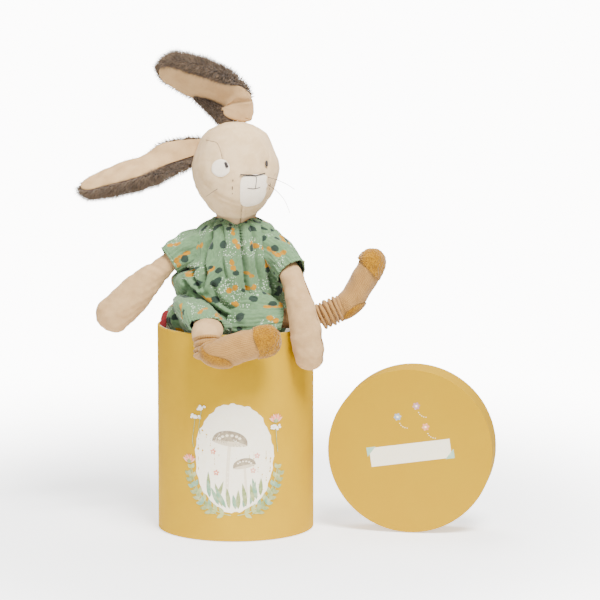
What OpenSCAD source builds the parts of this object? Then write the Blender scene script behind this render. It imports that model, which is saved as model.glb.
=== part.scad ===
// Soft rabbit doll sitting in the mouth of its round card gift box, with the lift-off lid stood on its rim beside it.
// Millimetres, +Z up. The origin is the centre of the box's underside; the front of the box faces -Y.
// Right and left are the doll's own: its right side is at -X.

/* [Box] */
// Outside diameter of the printed box
box_d = 150; // [146:1:156]
// Height of the box from the floor to the rim
box_h = 197; // [185:1:210]
// Wall of the card tube
tube_wall = 2.2; // [1.6:0.1:3]
// Printed paper on the outside of tube and lid
wrap_t = 0.4; // [0.3:0.1:0.6]
// Plain paper inside tube and lid
lining_t = 0.4; // [0.3:0.1:0.6]
// Card disc that closes the bottom
base_t = 2.5; // [2:0.1:4]

/* [Lid] */
// Depth of the lid over its face
lid_depth = 38; // [30:1:44]
// Wall of the lid's card band
lid_wall = 2.2; // [1.6:0.1:3]
// Card disc of the lid's face
lid_top_t = 2.2; // [1.6:0.1:3]
// Air between the lid's lining and the box, on the radius
lid_air = 1; // [0.6:0.1:1.4]
// Free floor between the box and the lid's rim
lid_apart = 18.8; // [16:0.2:30]
// Turn of the lid's face towards the box
lid_turn = 9.1; // [4:0.1:14]

/* [Doll] */
// Air between pieces of cloth, and between cloth and card
fit = 0.4; // [0.3:0.05:0.6]
// Thickness of the cotton gauze
cloth_t = 1.2; // [0.8:0.1:1.8]
// Neck above the rim of the box
neck_up = 94; // [90:1:100]
// Depth of the seat below the rim
seat_down = 30; // [24:1:36]
// Radius of the neck
neck_r = 17.5; // [16:0.5:19]
// Half the width of the seat
hip_half = 57; // [50:1:60]
// Half the width of the chest between the sleeves
chest_half = 29; // [26:1:31]
// Half the width of the head at the cheeks
head_half = 42; // [38:1:46]
// Height of the head's rounded top
crown_h = 16.4; // [14:0.2:20]
// Height of the head below its rounded top
face_h = 84.3; // [80:0.3:90]
// Half the width of an ear
ear_half = 19; // [16:0.5:22]
// Thickness of the fur on an ear's back
fur_t = 20; // [16:0.5:22]
// Thickness of the velour half of an ear
velour_t = 4; // [3:0.5:5]
// Half the thickness of an arm at the sleeve
wrist_half = 9.8; // [8:0.2:11]
// Half the width of a hand
hand_half = 17.6; // [15:0.2:18.6]
// Half the width of a thigh where it lies on the rim
thigh_half = 13.5; // [12:0.5:15]
// Radius of a sock at its cuff
cuff_r = 12.2; // [11:0.2:13]
// Radius of a foot
foot_r = 13; // [12:0.2:14.4]
// Thickness of the terry heel and toe patches
patch_t = 1.2; // [0.8:0.1:1.6]

/* [Hidden] */

YELLOW = "#e1c055";
CARD = "#c9b48c";
CREAM = "#efe9d8";
SAGE = "#a0bea0";
VELOUR = "#dcd0c0";
FUR = "#6e5c4b";
SOCK = "#d0b28c";
MUSTARD = "#d2a028";
RED = "#9b3737";
DARK = "#3a3430";

box_r = box_d / 2;
tube_r = box_r - wrap_t;
tube_bore = tube_r - tube_wall;
mouth_r = tube_bore - lining_t;
ROUND = 96; // sides of a drawn round

// ---- Lofts ----
// A form is [stations, start_cap, end_cap]. A station is a point on the axis, the half width, the half thickness
// and the direction of the width. Along a form, s runs from 0 to 1, with rounded caps from -1 to 0 and from 1 to 2.

function unit(v) = v / norm(v);
function part(v, first, last) = [for (i = [first:last]) v[i]];

// Smooth value between the rows of a list, at t from 0 to 1
function spline(rows, t) =
    let (last = len(rows) - 1,
         u = min(max(t * last, 0), last - 1e-6),
         i = floor(u), f = u - i,
         a = rows[max(i - 1, 0)], b = rows[i], c = rows[i + 1], d = rows[min(i + 2, last)])
    b + 0.5 * f * ((c - a) + f * ((2 * a - 5 * b + 4 * c - d) + f * (3 * (b - c) + d - a)));

// Axis point, tangent, width direction and half sizes of a form at s
function frame_at(form, s) =
    let (t = min(max(s, 0), 1), step = 0.01, row = spline(form[0], t),
         ahead = spline(form[0], min(t + step, 1)), behind = spline(form[0], max(t - step, 0)),
         along = unit(part(ahead - behind, 0, 2)),
         wide = part(row, 5, 7),
         side = unit(wide - (wide * along) * along))
    [part(row, 0, 2), along, side, cross(along, side), row[3], row[4]];

// Point on a form's skin at s and angle a, pushed out by `out`
function skin(form, s, a, out = 0) =
    let (f = frame_at(form, s),
         cap = s < 0 ? form[1] : form[2],
         turn = s < 0 ? -s * 90 : s > 1 ? (s - 1) * 90 : 0,
         shift = (s < 0 ? -1 : 1) * (cap + out) * sin(turn))
    f[0] + f[1] * shift
        + f[2] * (f[4] + out) * cos(turn) * cos(a)
        + f[3] * (f[5] + out) * cos(turn) * sin(a);

function ring(form, s, sides, out = 0) = [for (k = [0:sides - 1]) skin(form, s, k * 360 / sides, out)];

// Stations of s from a to b in n steps
function steps(a, b, n) = [for (k = [0:n]) a + (b - a) * k / n];

// s values of a whole form: its caps and `body` steps between them
POLE = 0.93; // how far round a cap its last ring lies
function whole(body) = concat([-POLE, -0.62, -0.3], steps(0, 1, body), [1.3, 1.62, 1 + POLE]);

// Solid through rings of equal point counts; a closed one runs back into its first ring, and a flipped one has its
// quads cut along the other diagonal
module loft(rings, closed = false, flip = false) {
    n = len(rings[0]);
    m = len(rings);
    walls = [for (k = [0:m - (closed ? 1 : 2)]) for (i = [0:n - 1])
        let (j = (i + 1) % n, low = k * n, high = ((k + 1) % m) * n)
        each flip ? [[low + i, high + i, high + j], [low + i, high + j, low + j]]
                  : [[low + i, high + i, low + j], [low + j, high + i, high + j]]];
    ends = closed ? [] : [[for (i = [0:n - 1]) i], [for (i = [n - 1:-1:0]) (m - 1) * n + i]];
    polyhedron(points = [for (r = rings) each r], faces = concat(walls, ends));
}

// Stuffed solid of a form
module stuffed(form, at, sides, out = 0) loft([for (s = at) ring(form, s, sides, out)]);

// Cloth tube round a form, open at both ends
module tube_cover(form, at, sides, gap, t)
    loft(concat([for (k = [len(at) - 1:-1:0]) ring(form, at[k], sides, gap)],
                [for (s = at) ring(form, s, sides, gap + t)]), closed = true);

// Cloth cap over the far end of a form
module end_cover(form, at, sides, gap, t)
    loft(concat([for (k = [len(at) - 1:-1:0]) ring(form, at[k], sides, gap)],
                [for (s = at) ring(form, s, sides, gap + t)]));

// Cloth patch on a form between two angles
module strip_cover(form, at, angles, gap, t)
    loft([for (s = at) concat([for (a = angles) skin(form, s, a, gap + t)],
                              [for (k = [len(angles) - 1:-1:0]) skin(form, s, angles[k], gap)])]);

// Oval or squarish patch on a form, centred on s and a; power 2 is an oval, 4 a rounded square
module spot_cover(form, s, a, half_s, half_a, gap, t, sides, power = 2) {
    function lobe(v) = sign(v) * pow(abs(v), 2 / power);
    function spot(share, out) = [for (k = [0:sides - 1]) let (turn = -k * 360 / sides)
        skin(form, s + half_s * share * lobe(sin(turn)), a + half_a * share * lobe(cos(turn)), out)];
    shares = [0.2, 0.6, 1];
    loft(concat([for (v = shares) spot(v, gap)], [for (k = [2:-1:0]) spot(shares[k], gap + t)]));
}

// One half of a flat two-layer form: side 1 or -1 picks the layer, `thick` is its thickness
module layer(form, at, side, thick, sides, air) {
    function edge(s, a) =
        let (f = frame_at(form, s),
             turn = s < 0 ? -s * 90 : s > 1 ? (s - 1) * 90 : 0,
             cap = s < 0 ? -form[1] : form[2])
        f[0] + f[1] * cap * sin(turn)
            + f[2] * f[4] * cos(turn) * cos(a)
            + f[3] * side * (air / 2 + thick * f[5] * (0.12 + 0.88 * cos(turn)) * sin(a));
    turns = steps(0, 180, sides);
    loft([for (s = at) [for (k = [0:sides]) edge(s, turns[side > 0 ? k : sides - k])]], flip = side < 0);
}

// Ring-section solid of revolution between two radii and two heights
module sleeve_ring(outer, inner, low, high)
    rotate_extrude($fn = ROUND) translate([inner, low]) square([outer - inner, high - low]);

// ---- Box ----
// The card tube stands on the floor; paper covers it outside and inside and is turned in at the rim.
lip = 0.6; // card left bare under the turned-in paper at the rim

module box_tube() color(CARD) sleeve_ring(tube_r, tube_bore, 0, box_h - lip);

module box_wrap() color(YELLOW) {
    rotate_extrude($fn = ROUND)
        polygon([[tube_r, 0], [box_r, 0], [box_r, box_h - wrap_t], [box_r - wrap_t, box_h], [tube_bore, box_h],
                 [tube_bore, box_h - lip], [tube_r, box_h - lip]]);
}

module box_lining() color(CREAM) sleeve_ring(tube_bore, mouth_r, base_t, box_h);

module box_base() color(CARD) cylinder(r = tube_bore, h = base_t, $fn = ROUND);

// ---- Lid ----
// Drawn with its face down at z = 0 and its rim up, then stood on its rim beside the box.
lid_bore = box_r + lid_air;
lid_card_bore = lid_bore + lining_t;
lid_card_r = lid_card_bore + lid_wall;
lid_r = lid_card_r + wrap_t;
lid_x = box_r + lid_apart + lid_r;
lid_back = 2; // the lid's rim stands this far behind the box's middle

module stood()
    translate([lid_x, lid_back, lid_r]) rotate([0, 0, -lid_turn]) translate([0, -lid_depth, 0])
        rotate([-90, 0, 0]) children();

module lid_band() color(CARD) stood() sleeve_ring(lid_card_r, lid_card_bore, wrap_t + lid_top_t, lid_depth - lip);

module lid_disc() color(CARD) stood() translate([0, 0, wrap_t]) cylinder(r = lid_card_r, h = lid_top_t, $fn = ROUND);

module lid_wrap() color(YELLOW) stood() rotate_extrude($fn = ROUND)
    polygon([[0, 0], [lid_r - wrap_t, 0], [lid_r, wrap_t], [lid_r, lid_depth - wrap_t],
             [lid_r - wrap_t, lid_depth], [lid_card_bore, lid_depth], [lid_card_bore, lid_depth - lip],
             [lid_card_r, lid_depth - lip], [lid_card_r, wrap_t], [0, wrap_t]]);

module lid_lining() color(CREAM) stood() {
    floor_z = wrap_t + lid_top_t;
    rotate_extrude($fn = ROUND)
        polygon([[0, floor_z], [lid_card_bore, floor_z], [lid_card_bore, lid_depth], [lid_bore, lid_depth],
                 [lid_bore, floor_z + lining_t], [0, floor_z + lining_t]]);
}

// ---- Doll: places ----
rim_z = box_h;
neck_z = rim_z + neck_up;
neck_x = 1;
LEFTWARD = [1, 0, 0];

// Point about the box's axis: angle from +X, distance outside the box, height above the rim
function rim_point(a, out, up) = [(box_r + out) * cos(a), (box_r + out) * sin(a), rim_z + up];
function station(p, wide, thick, way = LEFTWARD) = [p.x, p.y, p.z, wide, thick, way.x, way.y, way.z];

// ---- Doll: trunk ----
// The romper's outer skin; the stuffed trunk fills it.
trunk_form = [[
    station([-2, 8, rim_z - seat_down * 0.8], hip_half * 0.68, 27),
    station([-6, 6, rim_z - 6], hip_half * 0.93, 33),
    station([-7, 4, rim_z + neck_up * 0.1], hip_half, 34),
    station([-5, 2, rim_z + neck_up * 0.25], hip_half * 0.93, 35),
    station([-4, 0, rim_z + neck_up * 0.43], hip_half * 0.86, 36),
    station([-2, -1, rim_z + neck_up * 0.6], hip_half * 0.64, 35),
    station([-1, -1, rim_z + neck_up * 0.76], chest_half, 31),
    station([neck_x, 0, rim_z + neck_up * 0.9], chest_half * 0.93, 26),
    station([neck_x, 0, neck_z], neck_r + 3.5, neck_r + 3.5)],
    seat_down * 0.2, 1];
TRUNK_SIDES = 24;
trunk_in = cloth_t + fit;
TRUNK_AT = concat(steps(0, 11 / 12, 11), [0.98]);

module torso() color(VELOUR)
    stuffed(trunk_form, concat([-POLE, -0.6, -0.3], TRUNK_AT), TRUNK_SIDES, -trunk_in);

// The gauze ends under the seat
module romper_bodice() color(SAGE)
    tube_cover(trunk_form, concat([for (k = [1:len(TRUNK_AT) - 1]) TRUNK_AT[k]], [1]), TRUNK_SIDES, -cloth_t, cloth_t);

binding_h = 6;
binding_r = neck_r + 2.2;
module neck_binding() color(SAGE)
    translate([neck_x, 0, neck_z + fit]) rotate_extrude($fn = ROUND)
        polygon([[binding_r, 0], [binding_r + 1.7, 0], [binding_r + 2.1, binding_h / 2], [binding_r + 1.7, binding_h],
                 [binding_r, binding_h]]);

// Closing down the middle of the back
back_angle = 90;
placket_half = 7; // degrees round the trunk
placket_at = steps(0.42, 0.9, 8);
module back_placket() color(SAGE)
    strip_cover(trunk_form, placket_at, steps(back_angle + placket_half, back_angle - placket_half, 4), fit, cloth_t);

button_r = 4.5;
button_t = 2;
module placket_buttons() color(CREAM)
    for (s = [0.55, 0.8]) {
        seat = skin(trunk_form, s, back_angle, fit + cloth_t + 0.5);
        higher = skin(trunk_form, s + 0.02, back_angle, fit + cloth_t + 0.5);
        lean = atan2(seat.y - higher.y, higher.z - seat.z);
        translate(seat) rotate([lean - 90, 0, 0]) difference() {
            cylinder(r = button_r, h = button_t, $fn = 48);
            translate([0, 0, button_t - 0.5]) cylinder(r = button_r - 1.2, h = 1, $fn = 48);
            for (x = [-1, 1], y = [-1, 1]) translate([x * 1.1, y * 1.1, -1]) cylinder(r = 0.6, h = 4, $fn = 24);
        }
    }

// Folded ribbon in the right side seam, bare
ribbon = [6.5, 1, 17];
ribbon_s = 0.25;
module side_ribbon() color(RED) {
    seam = skin(trunk_form, ribbon_s, 180, fit);
    translate([max(seam.x - ribbon.x, -mouth_r + fit), seam.y - 8, rim_z - 1]) rotate([0, 6, 0]) cube(ribbon);
}

// ---- Doll: head ----
head_turn = 17; // the face looks this far to its left
head_form = [[
    station([neck_x, 0, neck_z], neck_r, neck_r),
    station([neck_x, 0, neck_z + face_h / 6], head_half * 0.48, head_half * 0.5),
    station([1, -5, neck_z + face_h / 3], head_half * 0.74, head_half * 0.79),
    station([0.9, -8.5, neck_z + face_h / 2], head_half * 0.93, head_half * 0.95),
    station([0.8, -8.5, neck_z + face_h * 2 / 3], head_half, head_half * 0.96),
    station([0.6, -8, neck_z + face_h * 5 / 6], head_half * 0.915, head_half * 0.89),
    station([0.4, -7.5, neck_z + face_h], head_half * 0.76, head_half * 0.76)],
    0, crown_h];
FACE = -90 + head_turn; // angle of the face's middle
felt_t = 0.8;
on_patch = felt_t + 2 * fit; // stitching over a patch lies this far off the head

module head() color(VELOUR)
    stuffed(head_form, concat(steps(0.015, 1, 16), [1.2, 1.4, 1.6, 1.8, 1.95]), 32, 0);

module muzzle_patch() color(CREAM) spot_cover(head_form, 0.5, FACE + 10, 0.15, 20, fit, felt_t, 20, 4);

module cheek_patch() color(CREAM) spot_cover(head_form, 0.7, FACE - 37, 0.1, 12, fit, felt_t, 16);

module eyes() color(DARK)
    for (side = [-1, 1])
        spot_cover(head_form, 0.755, FACE + side * 28.5, 0.036, 3.4, side < 0 ? on_patch : fit, 1, 10);

module nose_stitching() color(DARK)
    spot_cover(head_form, 0.645, FACE + 10, 0.008, 13, on_patch, 0.7, 10);

// ---- Doll: ears ----
// Each ear is a velour half and a fur half sewn at the edges, hinged at its root on the head.
ear_air = 0.5;
ear_root = 7.8; // hinge line beyond the head's skin

ear_r_root = skin(head_form, 0.86, 176, ear_root);
ear_r_form = [[
    station(ear_r_root + [-0.5, 0, 0], ear_half * 0.62, 0.5, [0.28, 0.05, 0.96]),
    station(ear_r_root + [-17, -1, -5], ear_half * 0.8, 0.7, [0.24, 0.4, 0.88]),
    station(ear_r_root + [-40, -2, -13], ear_half * 0.94, 1, [0.18, 0.84, 0.48]),
    station(ear_r_root + [-64, -2, -20], ear_half, 1, [0.15, 0.89, 0.42]),
    station(ear_r_root + [-88, -1, -28.5], ear_half * 0.76, 0.72, [0.15, 0.89, 0.42])],
    4.5, 15];

ear_l_root = skin(head_form, 2, 0, ear_root - 2.6) + [3, 0, 0];
ear_l_form = [[
    station(ear_l_root, ear_half * 0.72, 0.4),
    station(ear_l_root + [1.5, 0, 8.5], ear_half * 0.72, 0.5, [0.98, -0.05, 0.15]),
    station(ear_l_root + [-4, -1, 19], ear_half * 0.78, 0.66, [0.72, -0.4, 0.55]),
    station(ear_l_root + [-20.5, -2, 25.5], ear_half * 0.88, 0.85, [0.38, -0.62, 0.68]),
    station(ear_l_root + [-42, -2, 32], ear_half, 0.9, [0.28, -0.66, 0.68]),
    station(ear_l_root + [-61, -2, 40], ear_half * 0.8, 0.75, [0.28, -0.66, 0.68])],
    4.5, 14];
EAR_AT = concat([-0.85, -0.4], steps(0, 1, 18), [1.35, 1.65, 1.9]);

module ear_velour_right() color(VELOUR) layer(ear_r_form, EAR_AT, -1, velour_t, 8, ear_air);
module ear_fur_right() color(FUR) layer(ear_r_form, EAR_AT, 1, fur_t, 8, ear_air);
module ear_velour_left() color(VELOUR) layer(ear_l_form, EAR_AT, -1, velour_t, 8, ear_air);
module ear_fur_left() color(FUR) layer(ear_l_form, EAR_AT, 1, fur_t, 8, ear_air);

// ---- Doll: arms ----
// Shoulder hinges stand off the chest by the sleeve's root.
sleeve_root = wrist_half + cloth_t + fit + 3;
shoulder_up = neck_up - 21;
shoulder_r = [-chest_half - sleeve_root - 2.5, -8, rim_z + shoulder_up];
shoulder_l = [chest_half + sleeve_root - 3.2, -16, rim_z + shoulder_up - 2];
ACROSS = [0.7, 0, -0.71];

arm_r_form = [[
    station(shoulder_r, wrist_half, wrist_half * 0.9, ACROSS),
    station(shoulder_r + [-19, -3, -14], wrist_half, wrist_half * 0.95, ACROSS),
    station(shoulder_r + [-40, -5, -33], hand_half * 0.84, hand_half * 0.66, ACROSS),
    station(shoulder_r + [-59, -6, -52], hand_half, hand_half * 0.72, ACROSS),
    station(shoulder_r + [-71, -6, -63], hand_half, hand_half * 0.7, ACROSS)],
    wrist_half, hand_half * 0.9];

hand_out = hand_half * 0.72; // the hanging hand's middle lies this far outside the box
HAND_AT = -43; // angle round the box where the left arm hangs
arm_l_form = [[
    station(shoulder_l, wrist_half, wrist_half * 0.95),
    station(shoulder_l + [9, -17, -14], wrist_half, wrist_half * 0.95),
    station(rim_point(HAND_AT + 2, hand_out - 10, 34), wrist_half * 1.22, wrist_half * 1.1),
    station(rim_point(HAND_AT, hand_out, 6), hand_half * 0.82, hand_half * 0.68),
    station(rim_point(HAND_AT + 0.5, hand_out + 2, -13), hand_half * 0.84, hand_half * 0.68),
    station(rim_point(HAND_AT + 1.6, hand_out + 2, -24), hand_half * 0.74, hand_half * 0.62)],
    wrist_half, hand_half * 0.66];
ARM_SIDES = 18;

module arm_right() color(VELOUR) stuffed(arm_r_form, whole(9), ARM_SIDES);
module arm_left() color(VELOUR) stuffed(arm_l_form, whole(11), ARM_SIDES);

// Short gauze sleeves that turn with the arms
function sleeve_form(arm, length) = [[for (k = [0:4]) let (f = frame_at(arm, length * k / 4))
    station(f[0], sleeve_root - 0.66 * k, sleeve_root - 0.66 * k, f[2])], sleeve_root, 0];
SLEEVE_AT = [-0.75, -0.45, 0, 0.5, 1];
module sleeve_right() color(SAGE) tube_cover(sleeve_form(arm_r_form, 0.26), SLEEVE_AT, 18, -cloth_t, cloth_t);
module sleeve_left() color(SAGE) tube_cover(sleeve_form(arm_l_form, 0.22), SLEEVE_AT, 18, -cloth_t, cloth_t);

// ---- Doll: legs ----
// The hips sit in front of the seat; each thigh lies on the rim and hangs outside the box.
thigh_flat = 7.2; // half thickness of a thigh squeezed on the rim
on_rim = thigh_flat + fit;
hip_front = 12.5;
hip_r = [-26, trunk_form[0][2][1] - trunk_form[0][2][4] - hip_front - 1, rim_z + 9];
hip_l = [24, hip_r.y, hip_r.z];
RIGHT_AT = -110; // angle round the box where the right leg crosses the rim
LEFT_AT = -18; // and the left leg

cuff_r_start = rim_point(RIGHT_AT, cuff_r * 0.68, 3);
cuff_r_end = rim_point(RIGHT_AT + 2.5, cuff_r + 5.5, -4);
cuff_r_way = unit(cuff_r_end - cuff_r_start);
leg_r_form = [[
    station(hip_r, thigh_half, hip_front),
    station((hip_r + rim_point(RIGHT_AT, -4, on_rim)) / 2 + [0, 0, 1.5], thigh_half, 9.5),
    station(rim_point(RIGHT_AT - 2.5, -7, on_rim + 0.8), thigh_half, thigh_flat),
    station(cuff_r_start - cuff_r_way * 7, cuff_r - 1.2, thigh_flat),
    station(cuff_r_start - cuff_r_way * (fit + 0.6), cuff_r - 1.2, cuff_r * 0.66)],
    hip_front, 0];

cuff_l_start = rim_point(LEFT_AT + 3, 10, 12);
cuff_l_end = rim_point(LEFT_AT + 6, 29, 20);
cuff_l_way = unit(cuff_l_end - cuff_l_start);
leg_l_form = [[
    station(hip_l, thigh_half, hip_front, [0, 1, 0]),
    station(hip_l + [23, 10, 1], thigh_half, 10, [0, 1, 0]),
    station(rim_point(LEFT_AT - 2, -7, on_rim - 0.3), thigh_half - 0.5, thigh_flat, [0, 1, 0]),
    station(cuff_l_start - cuff_l_way * 7.5, cuff_r - 1.4, thigh_flat, [0, 1, 0]),
    station(cuff_l_start - cuff_l_way * fit, cuff_r - 1.4, cuff_r * 0.72, [0, 1, 0])],
    hip_front, 0];
LEG_SIDES = 18;
LEG_AT = concat([-POLE, -0.62, -0.3], steps(0, 1, 10));

module leg_right() color(VELOUR) stuffed(leg_r_form, LEG_AT, LEG_SIDES);
module leg_left() color(VELOUR) stuffed(leg_l_form, LEG_AT, LEG_SIDES);

BLOOMER_AT = [-0.3, 0, 0.1, 0.2, 0.3];
module bloomer_right() color(SAGE) tube_cover(leg_r_form, BLOOMER_AT, LEG_SIDES, fit, cloth_t);
module bloomer_left() color(SAGE) tube_cover(leg_l_form, BLOOMER_AT, LEG_SIDES, fit, cloth_t);

// ---- Doll: socks ----
// The pushed-down cuff is a stack of round folds on the ankle.
module cuff(from, to, folds) {
    span = norm(to - from);
    fold = span / folds;
    way = unit(to - from);
    translate(from) rotate([0, acos(way.z), atan2(way.y, way.x)]) rotate_extrude($fn = ROUND)
        difference() {
            square([cuff_r, span]);
            for (k = [0:folds]) translate([cuff_r + fold * 0.22, k * fold]) circle(r = fold * 0.36, $fn = 24);
        }
}

module sock_cuff_right() color(SOCK) cuff(cuff_r_start, cuff_r_end, 4);
module sock_cuff_left() color(SOCK) cuff(cuff_l_start, cuff_l_end, 5);

TOWARDS_FRONT = [0, -1, 0];
ankle_r = cuff_r_end + cuff_r_way * fit * 2;
foot_r_form = [[
    station(ankle_r, cuff_r - 1, cuff_r - 3, TOWARDS_FRONT),
    station(ankle_r + cuff_r_way * 8.5, foot_r - 1.6, foot_r - 4.4, TOWARDS_FRONT),
    station(ankle_r + [8, -14, -10.5], foot_r - 1.4, foot_r - 2.4, TOWARDS_FRONT),
    station(ankle_r + [21, -14, -11], foot_r + 0.6, foot_r + 2, TOWARDS_FRONT),
    station(ankle_r + [35.5, -11, -6.5], foot_r, foot_r + 1.4, TOWARDS_FRONT),
    station(ankle_r + [48.5, -9.5, -2], foot_r, foot_r + 0.5, TOWARDS_FRONT),
    station(ankle_r + [58.5, -8, 1], foot_r - 0.6, foot_r, TOWARDS_FRONT)],
    0, foot_r - 0.8];

ankle_l = cuff_l_end + cuff_l_way * fit;
foot_l_form = [[
    station(ankle_l, cuff_r - 1.6, cuff_r - 1.6, TOWARDS_FRONT),
    station(ankle_l + cuff_l_way * 4, foot_r - 1, foot_r - 1, TOWARDS_FRONT),
    station(ankle_l + [10.5, 0.3, 7.5], foot_r - 0.8, foot_r - 0.8, TOWARDS_FRONT),
    station(ankle_l + [15.5, 0.5, 16], foot_r - 0.8, foot_r - 0.8, TOWARDS_FRONT),
    station(ankle_l + [22, 0.7, 28], foot_r - 0.4, foot_r - 0.4, TOWARDS_FRONT),
    station(ankle_l + [28, 0.8, 41], foot_r - 0.6, foot_r - 0.6, TOWARDS_FRONT)],
    0, foot_r];
FOOT_SIDES = 20;
FOOT_AT = concat(steps(0, 1, 12), [1.3, 1.62, 1 + POLE]);

module sock_foot_right() color(SOCK) stuffed(foot_r_form, FOOT_AT, FOOT_SIDES);
module sock_foot_left() color(SOCK) stuffed(foot_l_form, FOOT_AT, FOOT_SIDES);

TOE_AT = concat(steps(0.86, 1, 2), [1.3, 1.62, 1 + POLE]);
module sock_toe_right() color(MUSTARD) end_cover(foot_r_form, TOE_AT, FOOT_SIDES, fit, patch_t);
module sock_toe_left() color(MUSTARD) end_cover(foot_l_form, TOE_AT, FOOT_SIDES, fit, patch_t);

module sock_heel_right() color(MUSTARD)
    spot_cover(foot_r_form, 0.29, 90, 0.15, 52, fit, patch_t, 24, 3);
module sock_heel_left() color(MUSTARD)
    spot_cover(foot_l_form, 0.3, 90, 0.16, 52, fit, patch_t, 24, 3);

// ---- Show ----
box_tube();
box_wrap();
box_lining();
box_base();
lid_band();
lid_disc();
lid_wrap();
lid_lining();
torso();
romper_bodice();
neck_binding();
back_placket();
placket_buttons();
side_ribbon();
head();
muzzle_patch();
cheek_patch();
eyes();
nose_stitching();
ear_velour_right();
ear_fur_right();
ear_velour_left();
ear_fur_left();
arm_right();
sleeve_right();
arm_left();
sleeve_left();
leg_right();
bloomer_right();
sock_cuff_right();
sock_foot_right();
sock_heel_right();
sock_toe_right();
leg_left();
bloomer_left();
sock_cuff_left();
sock_foot_left();
sock_heel_left();
sock_toe_left();
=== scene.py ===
"""Looks of a soft rabbit doll that sits in the mouth of a round card gift box, with the lid beside it.

The box stands on z = 0 about the Z axis and the front faces -Y. Right and left are the doll's own. Forms are
given in millimetres and scaled to metres where a mesh is made; textures and pile are given in metres.
"""

import logging
import math
from dataclasses import dataclass
from enum import Enum
from typing import Sequence

import bmesh
import bpy
import numpy as np
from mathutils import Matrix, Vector


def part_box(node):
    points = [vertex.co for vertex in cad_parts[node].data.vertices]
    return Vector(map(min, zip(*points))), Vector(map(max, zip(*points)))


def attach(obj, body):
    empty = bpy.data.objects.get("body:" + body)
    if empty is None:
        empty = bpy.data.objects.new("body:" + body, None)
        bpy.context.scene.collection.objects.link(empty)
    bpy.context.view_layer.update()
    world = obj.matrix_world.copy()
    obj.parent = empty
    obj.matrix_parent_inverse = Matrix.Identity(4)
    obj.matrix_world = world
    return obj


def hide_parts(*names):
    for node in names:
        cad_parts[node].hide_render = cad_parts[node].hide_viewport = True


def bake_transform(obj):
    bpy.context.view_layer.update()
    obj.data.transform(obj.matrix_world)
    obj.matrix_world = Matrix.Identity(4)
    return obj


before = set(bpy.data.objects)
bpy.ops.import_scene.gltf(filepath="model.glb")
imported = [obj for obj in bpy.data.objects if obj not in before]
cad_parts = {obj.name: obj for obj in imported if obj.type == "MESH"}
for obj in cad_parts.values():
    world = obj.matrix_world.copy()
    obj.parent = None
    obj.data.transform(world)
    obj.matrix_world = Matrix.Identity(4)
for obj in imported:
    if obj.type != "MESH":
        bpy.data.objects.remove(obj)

MM = 0.001
FULL_TURN = 6.28  # radians
BOX_RADIUS = 75.0  # mm
LID_TURN = 9.1  # degrees
GAUZE_THICK = 0.7  # mm, romper body
TUBE_THICK = 0.9  # mm, sleeves and leg openings
CAP_START = -0.93  # where a form's rounded start is closed
STRAND_RADIUS = 0.00033  # m
PILE_DENSITY = 2.2e6  # strands in a square metre
EAR_PILE = 0.0096  # m
GUSSET_PILE = 0.0072  # m
log = logging.getLogger("looks")
Socket = bpy.types.NodeSocket
Colour = tuple[float, float, float, float]


def srgb(red: int, green: int, blue: int) -> Colour:
    """Turns a colour in 0 to 255 into the linear values that Blender uses.

    Args:
        red, green, blue: The display colour.

    Returns:
        Linear red, green, blue and an alpha of 1.
    """
    def line(v: float) -> float:
        """Linear value of one channel."""
        v /= 255
        return v / 12.92 if v <= 0.04045 else ((v + 0.055) / 1.055) ** 2.4

    return line(red), line(green), line(blue), 1.0


def unit(v: np.ndarray) -> np.ndarray:
    """Scales vectors in the last axis to length 1."""
    return v / np.maximum(np.linalg.norm(v, axis=-1, keepdims=True), 1e-12)


def ripple(points: np.ndarray, size: float, seed: int) -> np.ndarray:
    """Smooth noise made of sine waves in fixed random directions.

    Args:
        points: Points in millimetres, in the last axis.
        size: Length of a typical wave in millimetres.
        seed: Which noise.

    Returns:
        Values of about -1 to 1, one for each point.
    """
    rng, waves = np.random.default_rng(seed), 12
    ways = unit(rng.normal(size=(waves, points.shape[-1]))) * 2 * math.pi / size
    ways *= rng.uniform(0.6, 1.5, (waves, 1))
    return np.sin(points @ ways.T + rng.uniform(0, FULL_TURN, waves)).sum(-1) / math.sqrt(waves)


def bell(x: np.ndarray, middle: float, width: float) -> np.ndarray:
    """Bell curve of height 1."""
    return np.exp(-(((x - middle) / width) ** 2))


def ease(x: np.ndarray, low: float, high: float) -> np.ndarray:
    """Smooth step from 0 at low to 1 at high."""
    t = np.clip((x - low) / (high - low), 0, 1)
    return t * t * (3 - 2 * t)


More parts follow.
